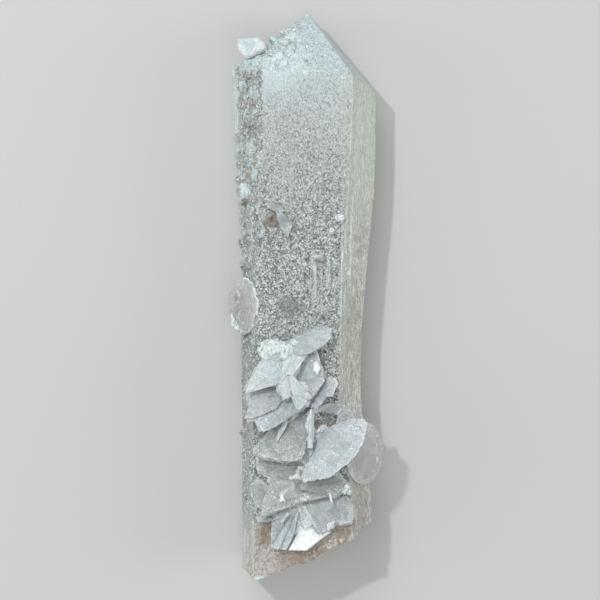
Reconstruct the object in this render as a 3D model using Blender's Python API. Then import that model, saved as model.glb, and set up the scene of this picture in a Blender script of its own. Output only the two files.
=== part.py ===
"""Velvet quartz: a flattened quartz crystal, its front furred with tiny crystal faces, with a
rosette of thin calcite blades on the lower front, two calcite discs on its sides and a few grains.

The crystal lies on its back face. X runs across it, Y along it towards the point, Z up through it.
Plan dimensions are in millimetres from the lowest corner of the broken base (Y) and from the middle
of the front face (X); Z is measured up from the flat back face. Everything is moved at the end so
that the origin is the bottom centre of the bounding box.
"""

import math
import random

import bmesh
import bpy
from mathutils import Matrix, Vector, noise
from mathutils.bvhtree import BVHTree

MM = 0.001
NAME = "velvet_quartz"

# ---------------------------------------------------------------- driving dimensions (mm)

# Prism: distance from the base, then the left, front-left, front-right and right edges across,
# then the height of the front face above the back face.
STATIONS = (
    (-4.0, -11.6, -9.35, 8.95, 12.9, 16.6),
    (9.2, -11.6, -9.4, 8.95, 12.9, 16.6),
    (14.8, -11.6, -9.5, 8.95, 12.65, 16.5),
    (26.0, -11.6, -9.5, 7.35, 11.4, 16.3),
    (35.3, -11.7, -9.35, 6.5, 10.65, 16.2),
    (46.6, -11.8, -9.1, 6.7, 10.85, 16.3),
    (59.7, -11.6, -8.8, 7.1, 11.95, 16.5),
    (67.1, -12.15, -8.6, 7.65, 12.7, 16.7),
    (72.0, -12.6, -8.5, 8.2, 13.15, 16.8),
    (80.2, -12.8, -7.7, 8.6, 13.45, 17.0),
    (90.1, -13.3, -7.7, 8.9, 13.45, 17.0),
    (98.0, -13.6, -7.7, 8.95, 13.45, 17.0),
)
LEFT_EDGE_HEIGHT = 7.5     # height of the left edge above the back face
RIGHT_EDGE_HEIGHT = 9.0
BACK_FACE_TURN = math.radians(60)      # back side faces, from the back face

# Where the six prism edges end and the point begins, along the crystal
SHOULDERS = {"left": 95.2, "front_left": 94.8, "front_right": 93.7,
             "right": 90.9, "back_right": 96.2, "back_left": 96.2}
APEX = (0.75, 106.0, 7.7)

# Mesh fineness of the crystal: pieces across each side and rings along it
SIDES = (("left", "front_left", 6), ("front_left", "front_right", 12),
         ("front_right", "right", 5), ("right", "back_right", 3),
         ("back_right", "back_left", 3), ("back_left", "left", 2))
RINGS_ALONG = 44
RINGS_POINT = 5

# Broken base: its line across the crystal (X, Y) and the cut's lean
BASE_BREAK = ((-14.0, 0.0), (-11.3, 0.0), (-9.0, 0.45), (-7.5, 0.56), (-6.1, 1.27), (-2.8, 2.7),
              (0.1, 3.66), (2.0, 4.24), (4.6, 5.8), (6.7, 7.0), (8.9, 7.7), (12.6, 9.16),
              (15.0, 10.0))
BASE_LEAN = math.radians(12)           # the break faces down and a little to the front

GROWTH_STEPS = (18.0, 33.0, 52.0, 69.0, 83.0)    # where the side faces step, along the crystal

GAP = 0.3                  # clearance between the quartz and what has grown on it
SKIN = 0.15                # how far the fine relief may stand out under the calcite
# Druzy lumps of the left strip: place across and along, then width, length and height
DRUZY_LUMPS = (
    (-11.3, 72.4, 1.3, 1.7, 1.1), (-12.6, 82.5, 0.7, 1.0, 0.8), (-12.4, 79.6, 0.8, 1.1, 0.8),
    (-12.3, 77.6, 0.7, 0.9, 0.9), (-12.2, 74.6, 0.8, 1.1, 0.8), (-10.2, 75.3, 1.0, 1.4, 0.9),
    (-9.4, 80.5, 1.0, 1.5, 0.7), (-10.6, 86.0, 1.2, 1.6, 0.8), (-9.2, 90.5, 1.1, 1.3, 0.7),
    (-11.6, 91.8, 1.0, 1.2, 0.8), (-11.5, 62.5, 0.8, 1.5, 0.9), (-11.2, 58.8, 0.9, 1.7, 0.8),
    (-11.6, 27.4, 0.6, 0.9, 0.8), (-11.0, 44.5, 0.6, 1.3, 0.6),
)
DRUZY_SCATTER = 18

# Lumps and missing chips of the broken left half of the point
SHOULDER_LUMPS = (
    (-6.6, 98.4, 1.7, 1.4, 1.2), (-4.6, 97.0, 1.5, 1.3, 1.0), (-3.4, 99.4, 1.4, 1.3, 1.0),
    (-5.3, 100.2, 1.2, 1.0, 1.4), (-2.4, 97.4, 1.2, 1.2, 0.8), (-2.9, 101.6, 1.1, 1.0, 1.1),
    (-1.3, 103.1, 0.8, 0.9, 1.0), (-8.4, 97.6, 1.4, 1.3, 1.4), (-9.8, 96.4, 1.4, 1.2, 1.5),
    (-0.9, 96.0, 0.9, 0.8, 0.6), (-4.0, 95.6, 1.2, 0.8, 0.7), (-11.8, 95.2, 1.0, 1.0, 1.2),
    (0.3, 94.25, 0.45, 0.45, 0.6), (-5.2, 101.3, 0.45, 0.8, 0.8), (-7.6, 99.6, 1.0, 0.9, 1.2),
)
SHOULDER_CHIPS = (
    (-4.6, 103.5, 8.5, 1.7), (-6.7, 102.2, 9.0, 1.4), (-2.4, 104.9, 8.0, 1.1),
    (-11.2, 98.9, 8.0, 1.3), (-13.2, 97.2, 7.5, 1.2), (-9.0, 101.4, 7.5, 1.5),
)

# Growth ridges of the front face: place across, start, end, width, height
RIDGES = (
    (1.9, 52.2, 58.6, 0.75, 0.45), (4.4, 53.8, 60.2, 0.95, 0.45), (3.3, 54.8, 57.4, 0.6, 0.3),
    (-2.3, 70.5, 74.0, 0.7, 0.3), (6.7, 47.5, 66.5, 0.5, 0.35), (5.6, 50.5, 58.5, 0.5, 0.25),
)

# Hollows: place across and along, then width, length and depth
HOLLOWS = (
    (-5.7, 66.5, 1.2, 1.7, 0.9), (2.7, 59.2, 1.25, 0.85, 0.8), (-11.2, 70.0, 0.8, 0.65, 0.7),
    (-3.2, 62.6, 1.2, 0.8, 0.35), (-9.2, 60.6, 0.5, 1.2, 0.5), (5.4, 64.0, 0.8, 0.6, 0.35),
)

# Chips out of the back edges and the base's rim, and contact marks in the back face
BACK_CHIPS = (
    (-7.6, 14.0, -0.2, 1.2, 2.6, 0.9), (6.2, 41.0, -0.2, 1.1, 3.2, 0.8), (-8.6, 71.0, -0.2, 1.0, 2.0, 0.9),
    (7.9, 80.0, -0.1, 0.9, 2.4, 0.7), (4.2, 6.0, 0.0, 2.4, 1.6, 1.0), (-11.9, 9.0, 7.6, 0.6, 1.8, 1.0),
    (12.9, 84.0, 8.6, 0.5, 1.4, 0.8), (0.0, 99.4, 1.6, 1.6, 1.2, 0.9), (-2.4, 55.0, -0.1, 1.8, 2.8, 0.5),
    (2.6, 66.5, -0.1, 1.2, 2.2, 0.45), (-4.6, 30.5, -0.1, 1.3, 1.9, 0.5),
)

# Calcite blades of the rosette: plan outline, a point of the middle plane (the height is above the
# back face), its rise across and along, thickness, dish of the rim, and whether the outline is round
BLADES = (
    ("fan", ((11.5, 30.1), (11.4, 27.9), (10.8, 25.8), (9.7, 23.9), (8.0, 22.2), (6.2, 20.8),
             (4.1, 19.6), (1.9, 19.1), (-0.2, 18.9), (0.6, 21.1), (1.3, 23.7), (1.9, 26.7),
             (3.9, 28.4), (6.0, 30.9), (6.7, 32.4), (7.9, 33.1), (9.3, 32.2), (10.5, 31.2)),
     (2.0, 29.0, 17.0), (0.20, -0.40), 1.5, 0.4, False),
    ("wing", ((5.1, 47.0), (2.4, 46.8), (0.4, 46.2), (-1.8, 45.0), (-3.7, 43.0), (-3.7, 41.0),
              (0.1, 41.7), (1.3, 42.4), (3.4, 43.6), (5.0, 45.3)),
     (0.5, 44.0, 18.4), (0.12, -0.42), 1.3, 0.0, False),
    ("crest_leaf", ((-7.9, 44.5), (-6.7, 45.2), (-3.7, 44.3), (-2.2, 43.8), (-2.2, 41.3),
                    (-4.9, 41.0), (-7.7, 41.0)),
     (-5.0, 42.5, 18.0), (0.25, -0.20), 1.6, 0.0, False),
    ("upper_left", ((-10.9, 35.0), (-10.3, 37.0), (-9.0, 39.5), (-7.7, 41.0), (-5.6, 41.3),
                    (-2.6, 41.7), (-2.2, 38.7), (-5.2, 36.7), (-7.2, 36.0), (-9.3, 35.3)),
     (-6.0, 38.5, 19.2), (0.10, -0.45), 1.2, 0.0, False),
    ("right_leaf", ((0.0, 42.1), (2.6, 42.8), (3.2, 40.4), (3.9, 38.7), (5.8, 37.0), (5.4, 34.4),
                    (4.1, 34.4), (2.8, 33.0), (1.3, 32.4), (-0.7, 33.8), (-2.2, 38.1)),
     (2.0, 37.5, 17.4), (0.10, -0.12), 1.2, 0.0, False),
    ("star", ((-3.2, 38.9), (-1.9, 38.5), (-0.2, 36.3), (1.5, 34.4), (0.9, 32.7), (0.2, 31.6),
              (-1.5, 33.6), (-3.0, 35.3)),
     (-2.5, 37.0, 20.2), (-0.30, 0.10), 1.5, 0.0, False),
    ("left_leaf", ((-10.9, 30.4), (-10.1, 33.1), (-9.3, 35.2), (-7.1, 36.3), (-4.9, 37.0),
                   (-3.7, 35.0), (-4.3, 33.7), (-6.2, 31.4), (-9.3, 30.5)),
     (-7.5, 33.5, 18.7), (0.05, -0.40), 1.2, 0.0, False),
    ("middle_leaf", ((-9.3, 30.5), (-7.7, 28.4), (-7.7, 27.7), (-6.2, 28.2), (-4.5, 29.4),
                     (-2.8, 30.4), (-1.5, 30.8), (0.2, 31.6), (0.9, 32.7), (0.9, 34.2),
                     (-1.5, 35.0), (-4.1, 34.2), (-6.4, 32.0)),
     (-3.5, 31.5, 18.5), (0.0, -0.38), 1.2, 0.0, False),
    ("shell", ((-9.4, 24.8), (-8.1, 23.8), (-5.8, 23.0), (-3.6, 22.7), (-1.3, 23.0), (0.7, 24.1),
               (1.3, 26.0), (0.9, 28.8), (-0.7, 31.2), (-4.5, 29.7), (-7.1, 27.0), (-8.6, 25.8)),
     (-3.5, 26.5, 18.0), (0.0, -0.33), 1.3, 0.3, False),
    ("low_leaf", ((-8.8, 23.2), (-5.4, 22.4), (-0.7, 22.8), (0.4, 20.4), (-0.2, 18.9), (-2.2, 18.9),
                  (-6.4, 19.3), (-8.6, 20.4)),
     (-4.0, 21.0, 17.1), (0.0, -0.10), 1.1, 0.0, False),
    ("lower_blade", ((-8.0, 12.6), (-7.5, 15.3), (-6.2, 19.3), (-2.6, 19.6), (0.0, 19.1),
                     (2.2, 18.9), (4.9, 19.4), (7.7, 18.0), (7.5, 16.8), (4.3, 15.9), (0.7, 15.2),
                     (-1.5, 14.5), (-3.7, 14.3), (-5.2, 13.6), (-6.7, 12.7)),
     (-1.0, 16.5, 18.1), (0.0, -0.30), 1.2, 0.0, False),
    ("small_shell", ((-9.6, 18.5), (-9.8, 17.0), (-9.5, 15.5), (-8.6, 14.2), (-7.6, 13.7),
                     (-6.7, 14.8), (-6.4, 17.6), (-7.9, 19.1)),
     (-8.0, 16.4, 17.1), (0.35, 0.0), 1.3, 0.0, False),
    ("right_plate", ((-0.9, 17.4), (0.0, 18.7), (3.0, 19.3), (6.7, 20.0), (8.4, 18.5), (5.8, 16.3),
                     (2.8, 16.6)),
     (3.5, 18.0, 18.4), (-0.05, -0.10), 0.9, 0.0, False),
    ("tab", ((-9.0, 12.3), (-7.9, 12.5), (-6.2, 12.2), (-5.0, 11.6), (-7.1, 11.2), (-8.6, 11.3)),
     (-7.2, 11.8, 17.2), (0.0, -0.10), 1.0, 0.0, False),
    ("ray_leaf", ((-6.0, 6.4), (-6.1, 9.2), (-6.0, 11.2), (-5.2, 12.9), (-3.7, 14.0), (-1.5, 14.2),
                  (-0.6, 12.9), (-0.9, 11.0), (-1.9, 8.8), (-3.0, 6.4)),
     (-3.5, 10.0, 17.4), (0.05, -0.06), 1.2, 0.0, False),
    ("lower_right", ((-0.2, 14.2), (4.3, 15.7), (7.7, 16.3), (9.0, 14.8), (9.0, 11.0), (6.7, 10.3),
                     (4.9, 9.2), (3.7, 9.0), (2.4, 9.9), (1.5, 12.0), (0.6, 13.3)),
     (5.0, 12.5, 17.7), (-0.08, -0.26), 1.2, 0.0, False),
    ("bright_facet", ((-0.6, 10.8), (1.5, 10.4), (2.6, 9.4), (3.9, 9.1), (5.0, 9.7), (4.3, 8.8),
                      (2.7, 7.8), (0.6, 6.4), (-3.0, 6.2), (-1.9, 8.6)),
     (0.5, 8.5, 17.3), (0.05, 0.16), 1.0, 0.0, False),
)

# Blades that stand on edge: points of their middle plane, thickness
FINS = (
    ("crest", ((0.4, 42.4, 17.2), (0.3, 42.3, 19.6), (-1.4, 40.0, 21.0), (-3.0, 37.4, 21.0),
               (-4.2, 36.3, 19.6), (-4.0, 36.5, 17.2), (-2.0, 39.3, 17.2)), 1.2),
    ("star_arm", ((-3.0, 38.2, 17.2), (-2.8, 38.4, 20.6), (-0.8, 36.4, 20.2), (1.5, 34.3, 18.8),
                  (1.5, 34.2, 17.2), (-0.8, 36.2, 17.2)), 1.0),
    ("upright", ((1.2, 32.4, 17.0), (1.2, 32.2, 19.4), (1.0, 29.0, 20.2), (0.9, 25.0, 20.0),
                 (1.0, 24.8, 17.0)), 1.0),
    ("ray_1", ((-2.4, 14.0, 17.0), (-2.6, 13.6, 19.0), (-4.4, 10.0, 18.6), (-5.6, 6.9, 17.6),
               (-5.5, 7.0, 17.0)), 0.8),
    ("ray_2", ((-1.6, 14.0, 17.0), (-1.8, 13.6, 19.2), (-2.9, 10.0, 18.7), (-3.9, 6.8, 17.6),
               (-3.8, 6.9, 17.0)), 0.8),
    ("ray_3", ((-0.8, 13.4, 17.0), (-1.0, 13.0, 18.8), (-1.6, 10.0, 18.5), (-2.4, 7.4, 17.6),
               (-2.3, 7.5, 17.0)), 0.8),
    ("ray_4", ((0.4, 14.4, 17.0), (0.6, 14.2, 19.2), (2.4, 11.8, 19.0), (3.4, 9.6, 18.0),
               (3.3, 9.7, 17.0)), 0.8),
)

# Low calcite under the blades that joins them: place, then width, length and height
CORE_LUMPS = (
    (-3.8, 40.0, 16.8, 3.6, 4.4, 1.8), (-4.6, 33.0, 16.8, 3.8, 5.4, 1.8), (1.0, 37.0, 16.6, 3.4, 4.4, 1.5),
    (-2.6, 26.0, 16.6, 4.2, 5.0, 1.7), (3.4, 26.4, 16.8, 3.0, 4.6, 2.4), (0.2, 19.0, 16.6, 7.0, 3.8, 1.6),
    (0.2, 12.6, 16.6, 6.6, 4.4, 1.4), (-6.0, 43.0, 17.0, 1.7, 1.5, 1.5), (-4.2, 43.2, 17.4, 1.5, 1.4, 1.4),
)

# Discs: middle, radius, lean about the long axis
SIDE_DISC = (11.2, 23.7, 12.4, 5.8, math.radians(52.5))
EDGE_DISC = (-11.2, 51.1, 12.0, 5.3, math.radians(-59.0))

TOP_BLADE = ((-12.5, 100.8), (-8.6, 101.1), (-7.4, 100.4), (-6.6, 98.8), (-10.6, 97.0),
             (-11.8, 98.0), (-12.4, 99.3))
TOP_BLADE_FOOT = (-10.0, 99.3, 10.6)
TOP_BLADE_RISE = (0.22, -0.3)
TOP_BLADE_THICK = 1.7
WEDGE = ((-7.4, 69.8), (-4.5, 69.8), (-3.7, 68.3), (-2.7, 66.9), (-3.1, 63.8), (-4.3, 65.5),
         (-5.0, 68.0))
GRAINS = (
    ("calcite_grain_upper", (6.6, 67.3, 17.1), (0.85, 0.75, 0.9)),
    ("calcite_grain_lower", (5.1, 64.9, 17.0), (0.5, 0.55, 0.75)),
)

RNG = random.Random(7)


def mm(x, y, z):
    """A point given in millimetres, in metres."""
    return Vector((x, y, z)) * MM


def between(low, high, t):
    return low + (high - low) * t


# ---------------------------------------------------------------- scene and materials


def start_scene():
    for thing in list(bpy.data.objects):
        bpy.data.objects.remove(thing, do_unlink=True)
    parts = bpy.data.collections.new(NAME)
    cutters = bpy.data.collections.new("cutters")
    bpy.context.scene.collection.children.link(parts)
    bpy.context.scene.collection.children.link(cutters)
    return parts, cutters


def make_material(name, colour, roughness, transmission=0.0, ior=1.5):
    material = bpy.data.materials.new(name)
    material.use_nodes = True
    shader = material.node_tree.nodes["Principled BSDF"]
    shader.inputs["Base Color"].default_value = (*colour, 1.0)
    shader.inputs["Roughness"].default_value = roughness
    shader.inputs["Metallic"].default_value = 0.0
    shader.inputs["Transmission Weight"].default_value = transmission
    shader.inputs["IOR"].default_value = ior
    return material


def add_object(name, bm, collection, material=None):
    """Turns a bmesh with outward faces into an object."""
    bmesh.ops.recalc_face_normals(bm, faces=bm.faces)
    mesh = bpy.data.meshes.new(name)
    bm.to_mesh(mesh)
    bm.free()
    thing = bpy.data.objects.new(name, mesh)
    collection.objects.link(thing)
    if material:
        mesh.materials.append(material)
    return thing


def hide_tool(thing):
    """A cutter, or a lump that is joined to a part, is only a guide."""
    thing.hide_render = True
    thing.display_type = "WIRE"
    return thing


def boolean(target, tool, operation):
    step = target.modifiers.new(f"{operation.lower()}_{tool.name}", "BOOLEAN")
    step.operation = operation
    step.object = tool
    step.solver = "EXACT"


# ---------------------------------------------------------------- quartz prism


def station_at(y):
    """The edges across and the thickness at a distance from the base."""
    for low, high in zip(STATIONS, STATIONS[1:]):
        if y <= high[0]:
            t = (y - low[0]) / (high[0] - low[0])
            return [between(a, b, t) for a, b in zip(low[1:], high[1:])]
    return list(STATIONS[-1][1:])


def prism_corner(edge, y):
    """The place of one prism edge at a distance along the crystal."""
    left, front_left, front_right, right, thick = station_at(y)
    inset = 1 / math.tan(BACK_FACE_TURN)
    across, height = {
        "left": (left, LEFT_EDGE_HEIGHT),
        "front_left": (front_left, thick),
        "front_right": (front_right, thick),
        "right": (right, RIGHT_EDGE_HEIGHT),
        "back_right": (right - RIGHT_EDGE_HEIGHT * inset, 0.0),
        "back_left": (left + LEFT_EDGE_HEIGHT * inset, 0.0),
    }[edge]
    return Vector((across, y, height))


def fade(distance, reach):
    """1 at no distance, easing to 0 at the reach."""
    t = max(0.0, 1.0 - abs(distance) / reach)
    return t * t * (3 - 2 * t)


def front_relief(x, y):
    """Height of the front face over its plane: shallow terraces and hollows."""
    swell = 0.10 * noise.noise(Vector((x * 0.16, y * 0.07, 3.0)))
    hollow = -0.32 * fade(math.hypot((x + 2.6) / 3.6, (y - 50.6) / 3.4), 1.25)
    terrace = -0.22 * fade(y - 57.0, 11.0) * fade(x - 7.6, 1.9)
    step = 0.10 * math.tanh((y - 66.0 + 0.25 * x) * 0.9)
    return swell + hollow + terrace + step - 0.1


def left_relief(t, y):
    """Druzy strip: lumpy in the middle, smooth by the outer edge."""
    middle = math.sin(math.pi * min(1.0, t * 1.15))
    lumps = noise.noise(Vector((t * 3.1, y * 0.42, 9.0))) + 0.5 * noise.noise(Vector((t * 6, y, 1.0)))
    return middle * (0.42 * lumps - 0.12)


def side_relief(t, y, seed):
    """Long growth lines along the crystal and a few growth steps across it."""
    lines = 0.26 * noise.noise(Vector((t * 7.0, y * 0.035, seed)))
    steps = sum(math.tanh((y - place - 5 * t) * 1.2) for place in GROWTH_STEPS) / len(GROWTH_STEPS)
    return math.sin(math.pi * t) * (lines + 0.22 * steps - 0.2)


def relief(side, t, place):
    """How far a point of one side stands out of its plane, in mm. Edges stay true."""
    if t in (0.0, 1.0):
        return 0.0
    if side == "front_left":
        edge = min(1.0, min(t, 1 - t) * 7)
        return edge * front_relief(place.x, place.y)
    if side == "left":
        return left_relief(t, place.y)
    if side == "back_right":
        return 0.0
    return side_relief(t, place.y, {"front_right": 5.0, "right": 6.0, "back_left": 8.0}[side])


def crystal_mesh(grow=0.0, detail=True):
    """The six-sided crystal with its point, lofted ring by ring. grow moves every side out."""
    bm = bmesh.new()
    rings = []
    bottom = STATIONS[0][0]
    for n in range(RINGS_ALONG + 1):
        s = n / RINGS_ALONG
        ring = []
        for start, end, pieces in SIDES:
            a = prism_corner(start, between(bottom, SHOULDERS[start], s))
            b = prism_corner(end, between(bottom, SHOULDERS[end], s))
            along = Vector((0, 1, 0))
            outward = (b - a).cross(along).normalized()
            for k in range(pieces):
                t = k / pieces
                place = a.lerp(b, t)
                out = relief(start, t, place) if detail else 0.0
                ring.append(place + outward * out)
        rings.append(ring)
    apex = Vector(APEX)
    top = rings[-1]
    for n in range(1, RINGS_POINT):
        rings.append([place.lerp(apex, n / RINGS_POINT) for place in top])
    if grow:
        middle = Vector((0.5, 0, 8.0))
        for ring in rings:
            for place in ring:
                out = Vector((place.x - middle.x, 0, place.z - middle.z))
                place += out.normalized() * grow * 1.25
        apex.y += grow * 2
    verts = [[bm.verts.new(place * MM) for place in ring] for ring in rings]
    tip = bm.verts.new(apex * MM)
    count = len(verts[0])
    for low, high in zip(verts, verts[1:]):
        for k in range(count):
            j = (k + 1) % count
            bm.faces.new((low[k], low[j], high[j], high[k]))
    for k in range(count):
        bm.faces.new((verts[-1][k], verts[-1][(k + 1) % count], tip))
    base = bm.faces.new(verts[0])
    bmesh.ops.poke(bm, faces=[base])
    bmesh.ops.triangulate(bm, faces=bm.faces)
    return bm


# ---------------------------------------------------------------- quartz: what breaks the plain prism


def surface_finder(bm):
    """Returns a function giving the height (mm) of a body's upper surface above a plan point."""
    tree = BVHTree.FromBMesh(bm)

    def height(x, y):
        hit = tree.ray_cast(mm(x, y, 40), Vector((0, 0, -1)))[0]
        return hit.z / MM if hit else 0.0

    return height


def lump(name, place, size, collection, fine=2, turn=0.0, rough=0.22):
    """A small angular grain: an icosphere pushed about at random, half sunk in what it sits on."""
    bm = bmesh.new()
    bmesh.ops.create_icosphere(bm, subdivisions=fine, radius=1.0)
    for vert in bm.verts:
        vert.co *= 1 + RNG.uniform(-rough, rough)
    scale = Matrix.Diagonal((*(side * MM for side in size), 1.0))
    placed = Matrix.Translation(mm(*place)) @ Matrix.Rotation(turn, 4, "Z") @ scale
    bmesh.ops.transform(bm, matrix=placed, verts=bm.verts)
    return hide_tool(add_object(name, bm, collection))


def ridge(name, x, start, end, width, height, surface, collection):
    """A low roof-shaped growth ridge that runs along the crystal."""
    bm = bmesh.new()
    bmesh.ops.create_cube(bm, size=1.0)
    length = end - start
    foot = surface(x, (start + end) / 2) - 0.6
    for vert in bm.verts:
        top = vert.co.z > 0
        across = vert.co.x * width * (0.35 if top else 1.0)
        along = vert.co.y * (length - (1.2 if top else 0.0))
        up = foot + (0.6 + height if top else 0.0)
        vert.co = mm(x + across, (start + end) / 2 + along, up)
    return hide_tool(add_object(name, bm, collection))


def base_cutter(collection):
    """A rough slab below the broken base, bounded by the break."""
    bm = bmesh.new()
    across, deep = 22, 12
    grid = bmesh.ops.create_grid(bm, x_segments=across, y_segments=deep, size=0.5)
    faces = list(bm.faces)
    for vert in grid["verts"]:
        x = vert.co.x * 32.0
        z = 9.0 + vert.co.y * 26.0
        chips = 0.45 * noise.noise(Vector((x * 0.35, z * 0.3, 2.0)))
        chips += 0.25 * noise.noise(Vector((x * 1.1, z * 0.8, 6.0)))
        vert.co = mm(x, break_line(x) + chips + (17.0 - z) * math.tan(BASE_LEAN), z)
    sunk = bmesh.ops.extrude_face_region(bm, geom=faces)["geom"]
    for vert in (part for part in sunk if isinstance(part, bmesh.types.BMVert)):
        vert.co.y = -12 * MM
    bmesh.ops.triangulate(bm, faces=bm.faces)
    return hide_tool(add_object("base_break", bm, collection))


def break_line(x):
    """How far along the crystal the base is broken off, at a place across it."""
    for low, high in zip(BASE_BREAK, BASE_BREAK[1:]):
        if x <= high[0]:
            return between(low[1], high[1], max(0.0, (x - low[0]) / (high[0] - low[0])))
    return BASE_BREAK[-1][1]


def build_quartz(parts, cutters, material):
    bm = crystal_mesh()
    surface = surface_finder(bm)
    quartz = add_object("quartz_crystal", bm, parts, material)
    lumps = bpy.data.collections.new("quartz_lumps")
    cutters.children.link(lumps)
    pits = bpy.data.collections.new("quartz_pits")
    cutters.children.link(pits)

    # druzy lumps down the left strip: the large ones where they are, the rest scattered
    for n, (x, y, wide, long, high) in enumerate(DRUZY_LUMPS):
        lump(f"druzy_{n}", (x, y, surface(x + 0.5, y) - 0.3), (wide, long, high), lumps,
             fine=2 if wide > 0.9 else 1, turn=RNG.uniform(-0.5, 0.5))
    for n in range(DRUZY_SCATTER):
        y = 94.0 - 62.0 * (n / DRUZY_SCATTER) ** 1.2
        left, front_left = station_at(y)[:2]
        x = between(left, front_left, RNG.uniform(0.3, 0.8))
        size = RNG.uniform(0.45, 0.85)
        lump(f"druzy_small_{n}", (x, y, surface(x, y) - 0.25), (size, size * 1.3, size * 0.9), lumps,
             fine=1, turn=RNG.uniform(0, 3))

    # broken, lumpy left half of the point, and the small teeth along its outline
    for n, (x, y, wide, long, high) in enumerate(SHOULDER_LUMPS):
        lump(f"shoulder_{n}", (x, y, surface(x, y) - 0.25 * high), (wide, long, high), lumps,
             fine=2 if wide > 0.9 else 1, turn=RNG.uniform(-1, 1), rough=0.28)
    for n, (x, y, z, size) in enumerate(SHOULDER_CHIPS):
        lump(f"chip_{n}", (x, y, z), (size, size * 0.8, size * 1.3), pits, rough=0.15)

    for n, (x, y, z, wide, long, high) in enumerate(BACK_CHIPS):
        lump(f"back_chip_{n}", (x, y, z), (wide, long, high), pits, rough=0.12)

    for n, (x, start, end, width, height) in enumerate(RIDGES):
        ridge(f"growth_ridge_{n}", x, start, end, width, height, surface, lumps)

    for n, (x, y, wide, long, deep) in enumerate(HOLLOWS):
        lump(f"hollow_{n}", (x, y, surface(x, y) + 0.25), (wide, long, deep + 0.25), pits, rough=0.1)

    for collection, operation in ((lumps, "UNION"), (pits, "DIFFERENCE")):
        step = quartz.modifiers.new(collection.name, "BOOLEAN")
        step.operation = operation
        step.operand_type = "COLLECTION"
        step.collection = collection
        step.solver = "EXACT"
    boolean(quartz, base_cutter(cutters), "DIFFERENCE")
    return quartz


# ---------------------------------------------------------------- calcite


def smooth_outline(points, steps=3):
    """A round curve through the points of a closed outline."""
    curve = []
    count = len(points)
    for n in range(count):
        p0, p1, p2, p3 = (Vector(points[(n + k) % count]) for k in (-1, 0, 1, 2))
        for k in range(steps):
            t = k / steps
            curve.append(0.5 * (2 * p1 + (p2 - p0) * t + (2 * p0 - 5 * p1 + 4 * p2 - p3) * t * t
                                + (3 * p1 - p0 - 3 * p2 + p3) * t ** 3))
    return curve


def plate(name, points, thick, collection, dish=0.0, material=None):
    """A thin crystal through points in space (mm): full in the middle, thin at its rim."""
    points = [Vector(point) for point in points]
    middle = sum(points, Vector()) / len(points)
    normal = Vector()
    for a, b in zip(points, points[1:] + points[:1]):
        normal += (a - middle).cross(b - middle)
    normal.normalize()
    if normal.z < 0:
        normal.negate()
    reach = max((point - middle).length for point in points)
    bm = bmesh.new()
    sides = []
    for sign in (1, -1):
        rings = []
        for share, fullness in ((1.0, 0.18), (0.72, 0.75)):
            ring = []
            for point in points:
                place = middle.lerp(point, share)
                bend = dish * ((place - middle).length / reach) ** 2
                place = place + normal * (bend + sign * fullness * thick / 2)
                ring.append(bm.verts.new(place * MM))
            rings.append(ring)
        sides.append((rings, bm.verts.new((middle + normal * sign * thick / 2) * MM)))
    count = len(points)
    for rings, pole in sides:
        outer, inner = rings
        for k in range(count):
            j = (k + 1) % count
            bm.faces.new((outer[k], outer[j], inner[j], inner[k]))
            bm.faces.new((inner[k], inner[j], pole))
    front_rim, back_rim = sides[0][0][0], sides[1][0][0]
    for k in range(count):
        j = (k + 1) % count
        bm.faces.new((front_rim[k], back_rim[k], back_rim[j], front_rim[j]))
    bmesh.ops.triangulate(bm, faces=bm.faces)
    return add_object(name, bm, collection, material)


def leaning(outline, foot, rise):
    """Lifts a plan outline onto a leaning plane through foot, rising across and along by rise."""
    return [(x, y, foot[2] + rise[0] * (x - foot[0]) + rise[1] * (y - foot[1])) for x, y in outline]


def disc(name, middle, radius, thick, lean, collection, material):
    """A round, lens-shaped crystal, leaning about the crystal's long axis."""
    bm = bmesh.new()
    bmesh.ops.create_uvsphere(bm, u_segments=20, v_segments=6, radius=1.0)
    shape = Matrix.Diagonal((radius * MM, radius * MM, thick / 2 * MM, 1.0))
    placed = Matrix.Translation(mm(*middle)) @ Matrix.Rotation(lean, 4, "Y") @ shape
    bmesh.ops.transform(bm, matrix=placed, verts=bm.verts)
    return add_object(name, bm, collection, material)


def build_rosette(parts, cutters, envelope, material):
    """All the overlapping blades of the lower front, joined in one solid."""
    blades = bpy.data.collections.new("rosette_blades")
    cutters.children.link(blades)
    (name, outline, foot, rise, thick, dish, is_round), *others = BLADES
    points = leaning(smooth_outline(outline) if is_round else outline, foot, rise)
    rosette = plate("calcite_rosette", points, thick, parts, dish, material)
    for name, outline, foot, rise, thick, dish, is_round in others:
        outline = smooth_outline(outline) if is_round else outline
        hide_tool(plate(name, leaning(outline, foot, rise), thick, blades, dish))
    for name, points, thick in FINS:
        hide_tool(plate(name, points, thick, blades))
    for n, (x, y, z, wide, long, high) in enumerate(CORE_LUMPS):
        lump(f"core_{n}", (x, y, z), (wide, long, high), blades, rough=0.06)
    step = rosette.modifiers.new("blades", "BOOLEAN")
    step.operation = "UNION"
    step.operand_type = "COLLECTION"
    step.collection = blades
    step.solver = "EXACT"
    boolean(rosette, envelope, "DIFFERENCE")
    return rosette


def cut_seat(quartz, cutters):
    """Clears the broken shoulder where the small blade stands in it."""
    middle = sum((Vector(point) for point in TOP_BLADE), Vector((0, 0))) / len(TOP_BLADE)
    wider = [middle.lerp(Vector(point), 1.14) for point in TOP_BLADE]
    seat = plate("top_blade_seat", leaning(wider, TOP_BLADE_FOOT, TOP_BLADE_RISE),
                 TOP_BLADE_THICK + 2.4 * GAP, cutters)
    boolean(quartz, hide_tool(seat), "DIFFERENCE")


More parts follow.
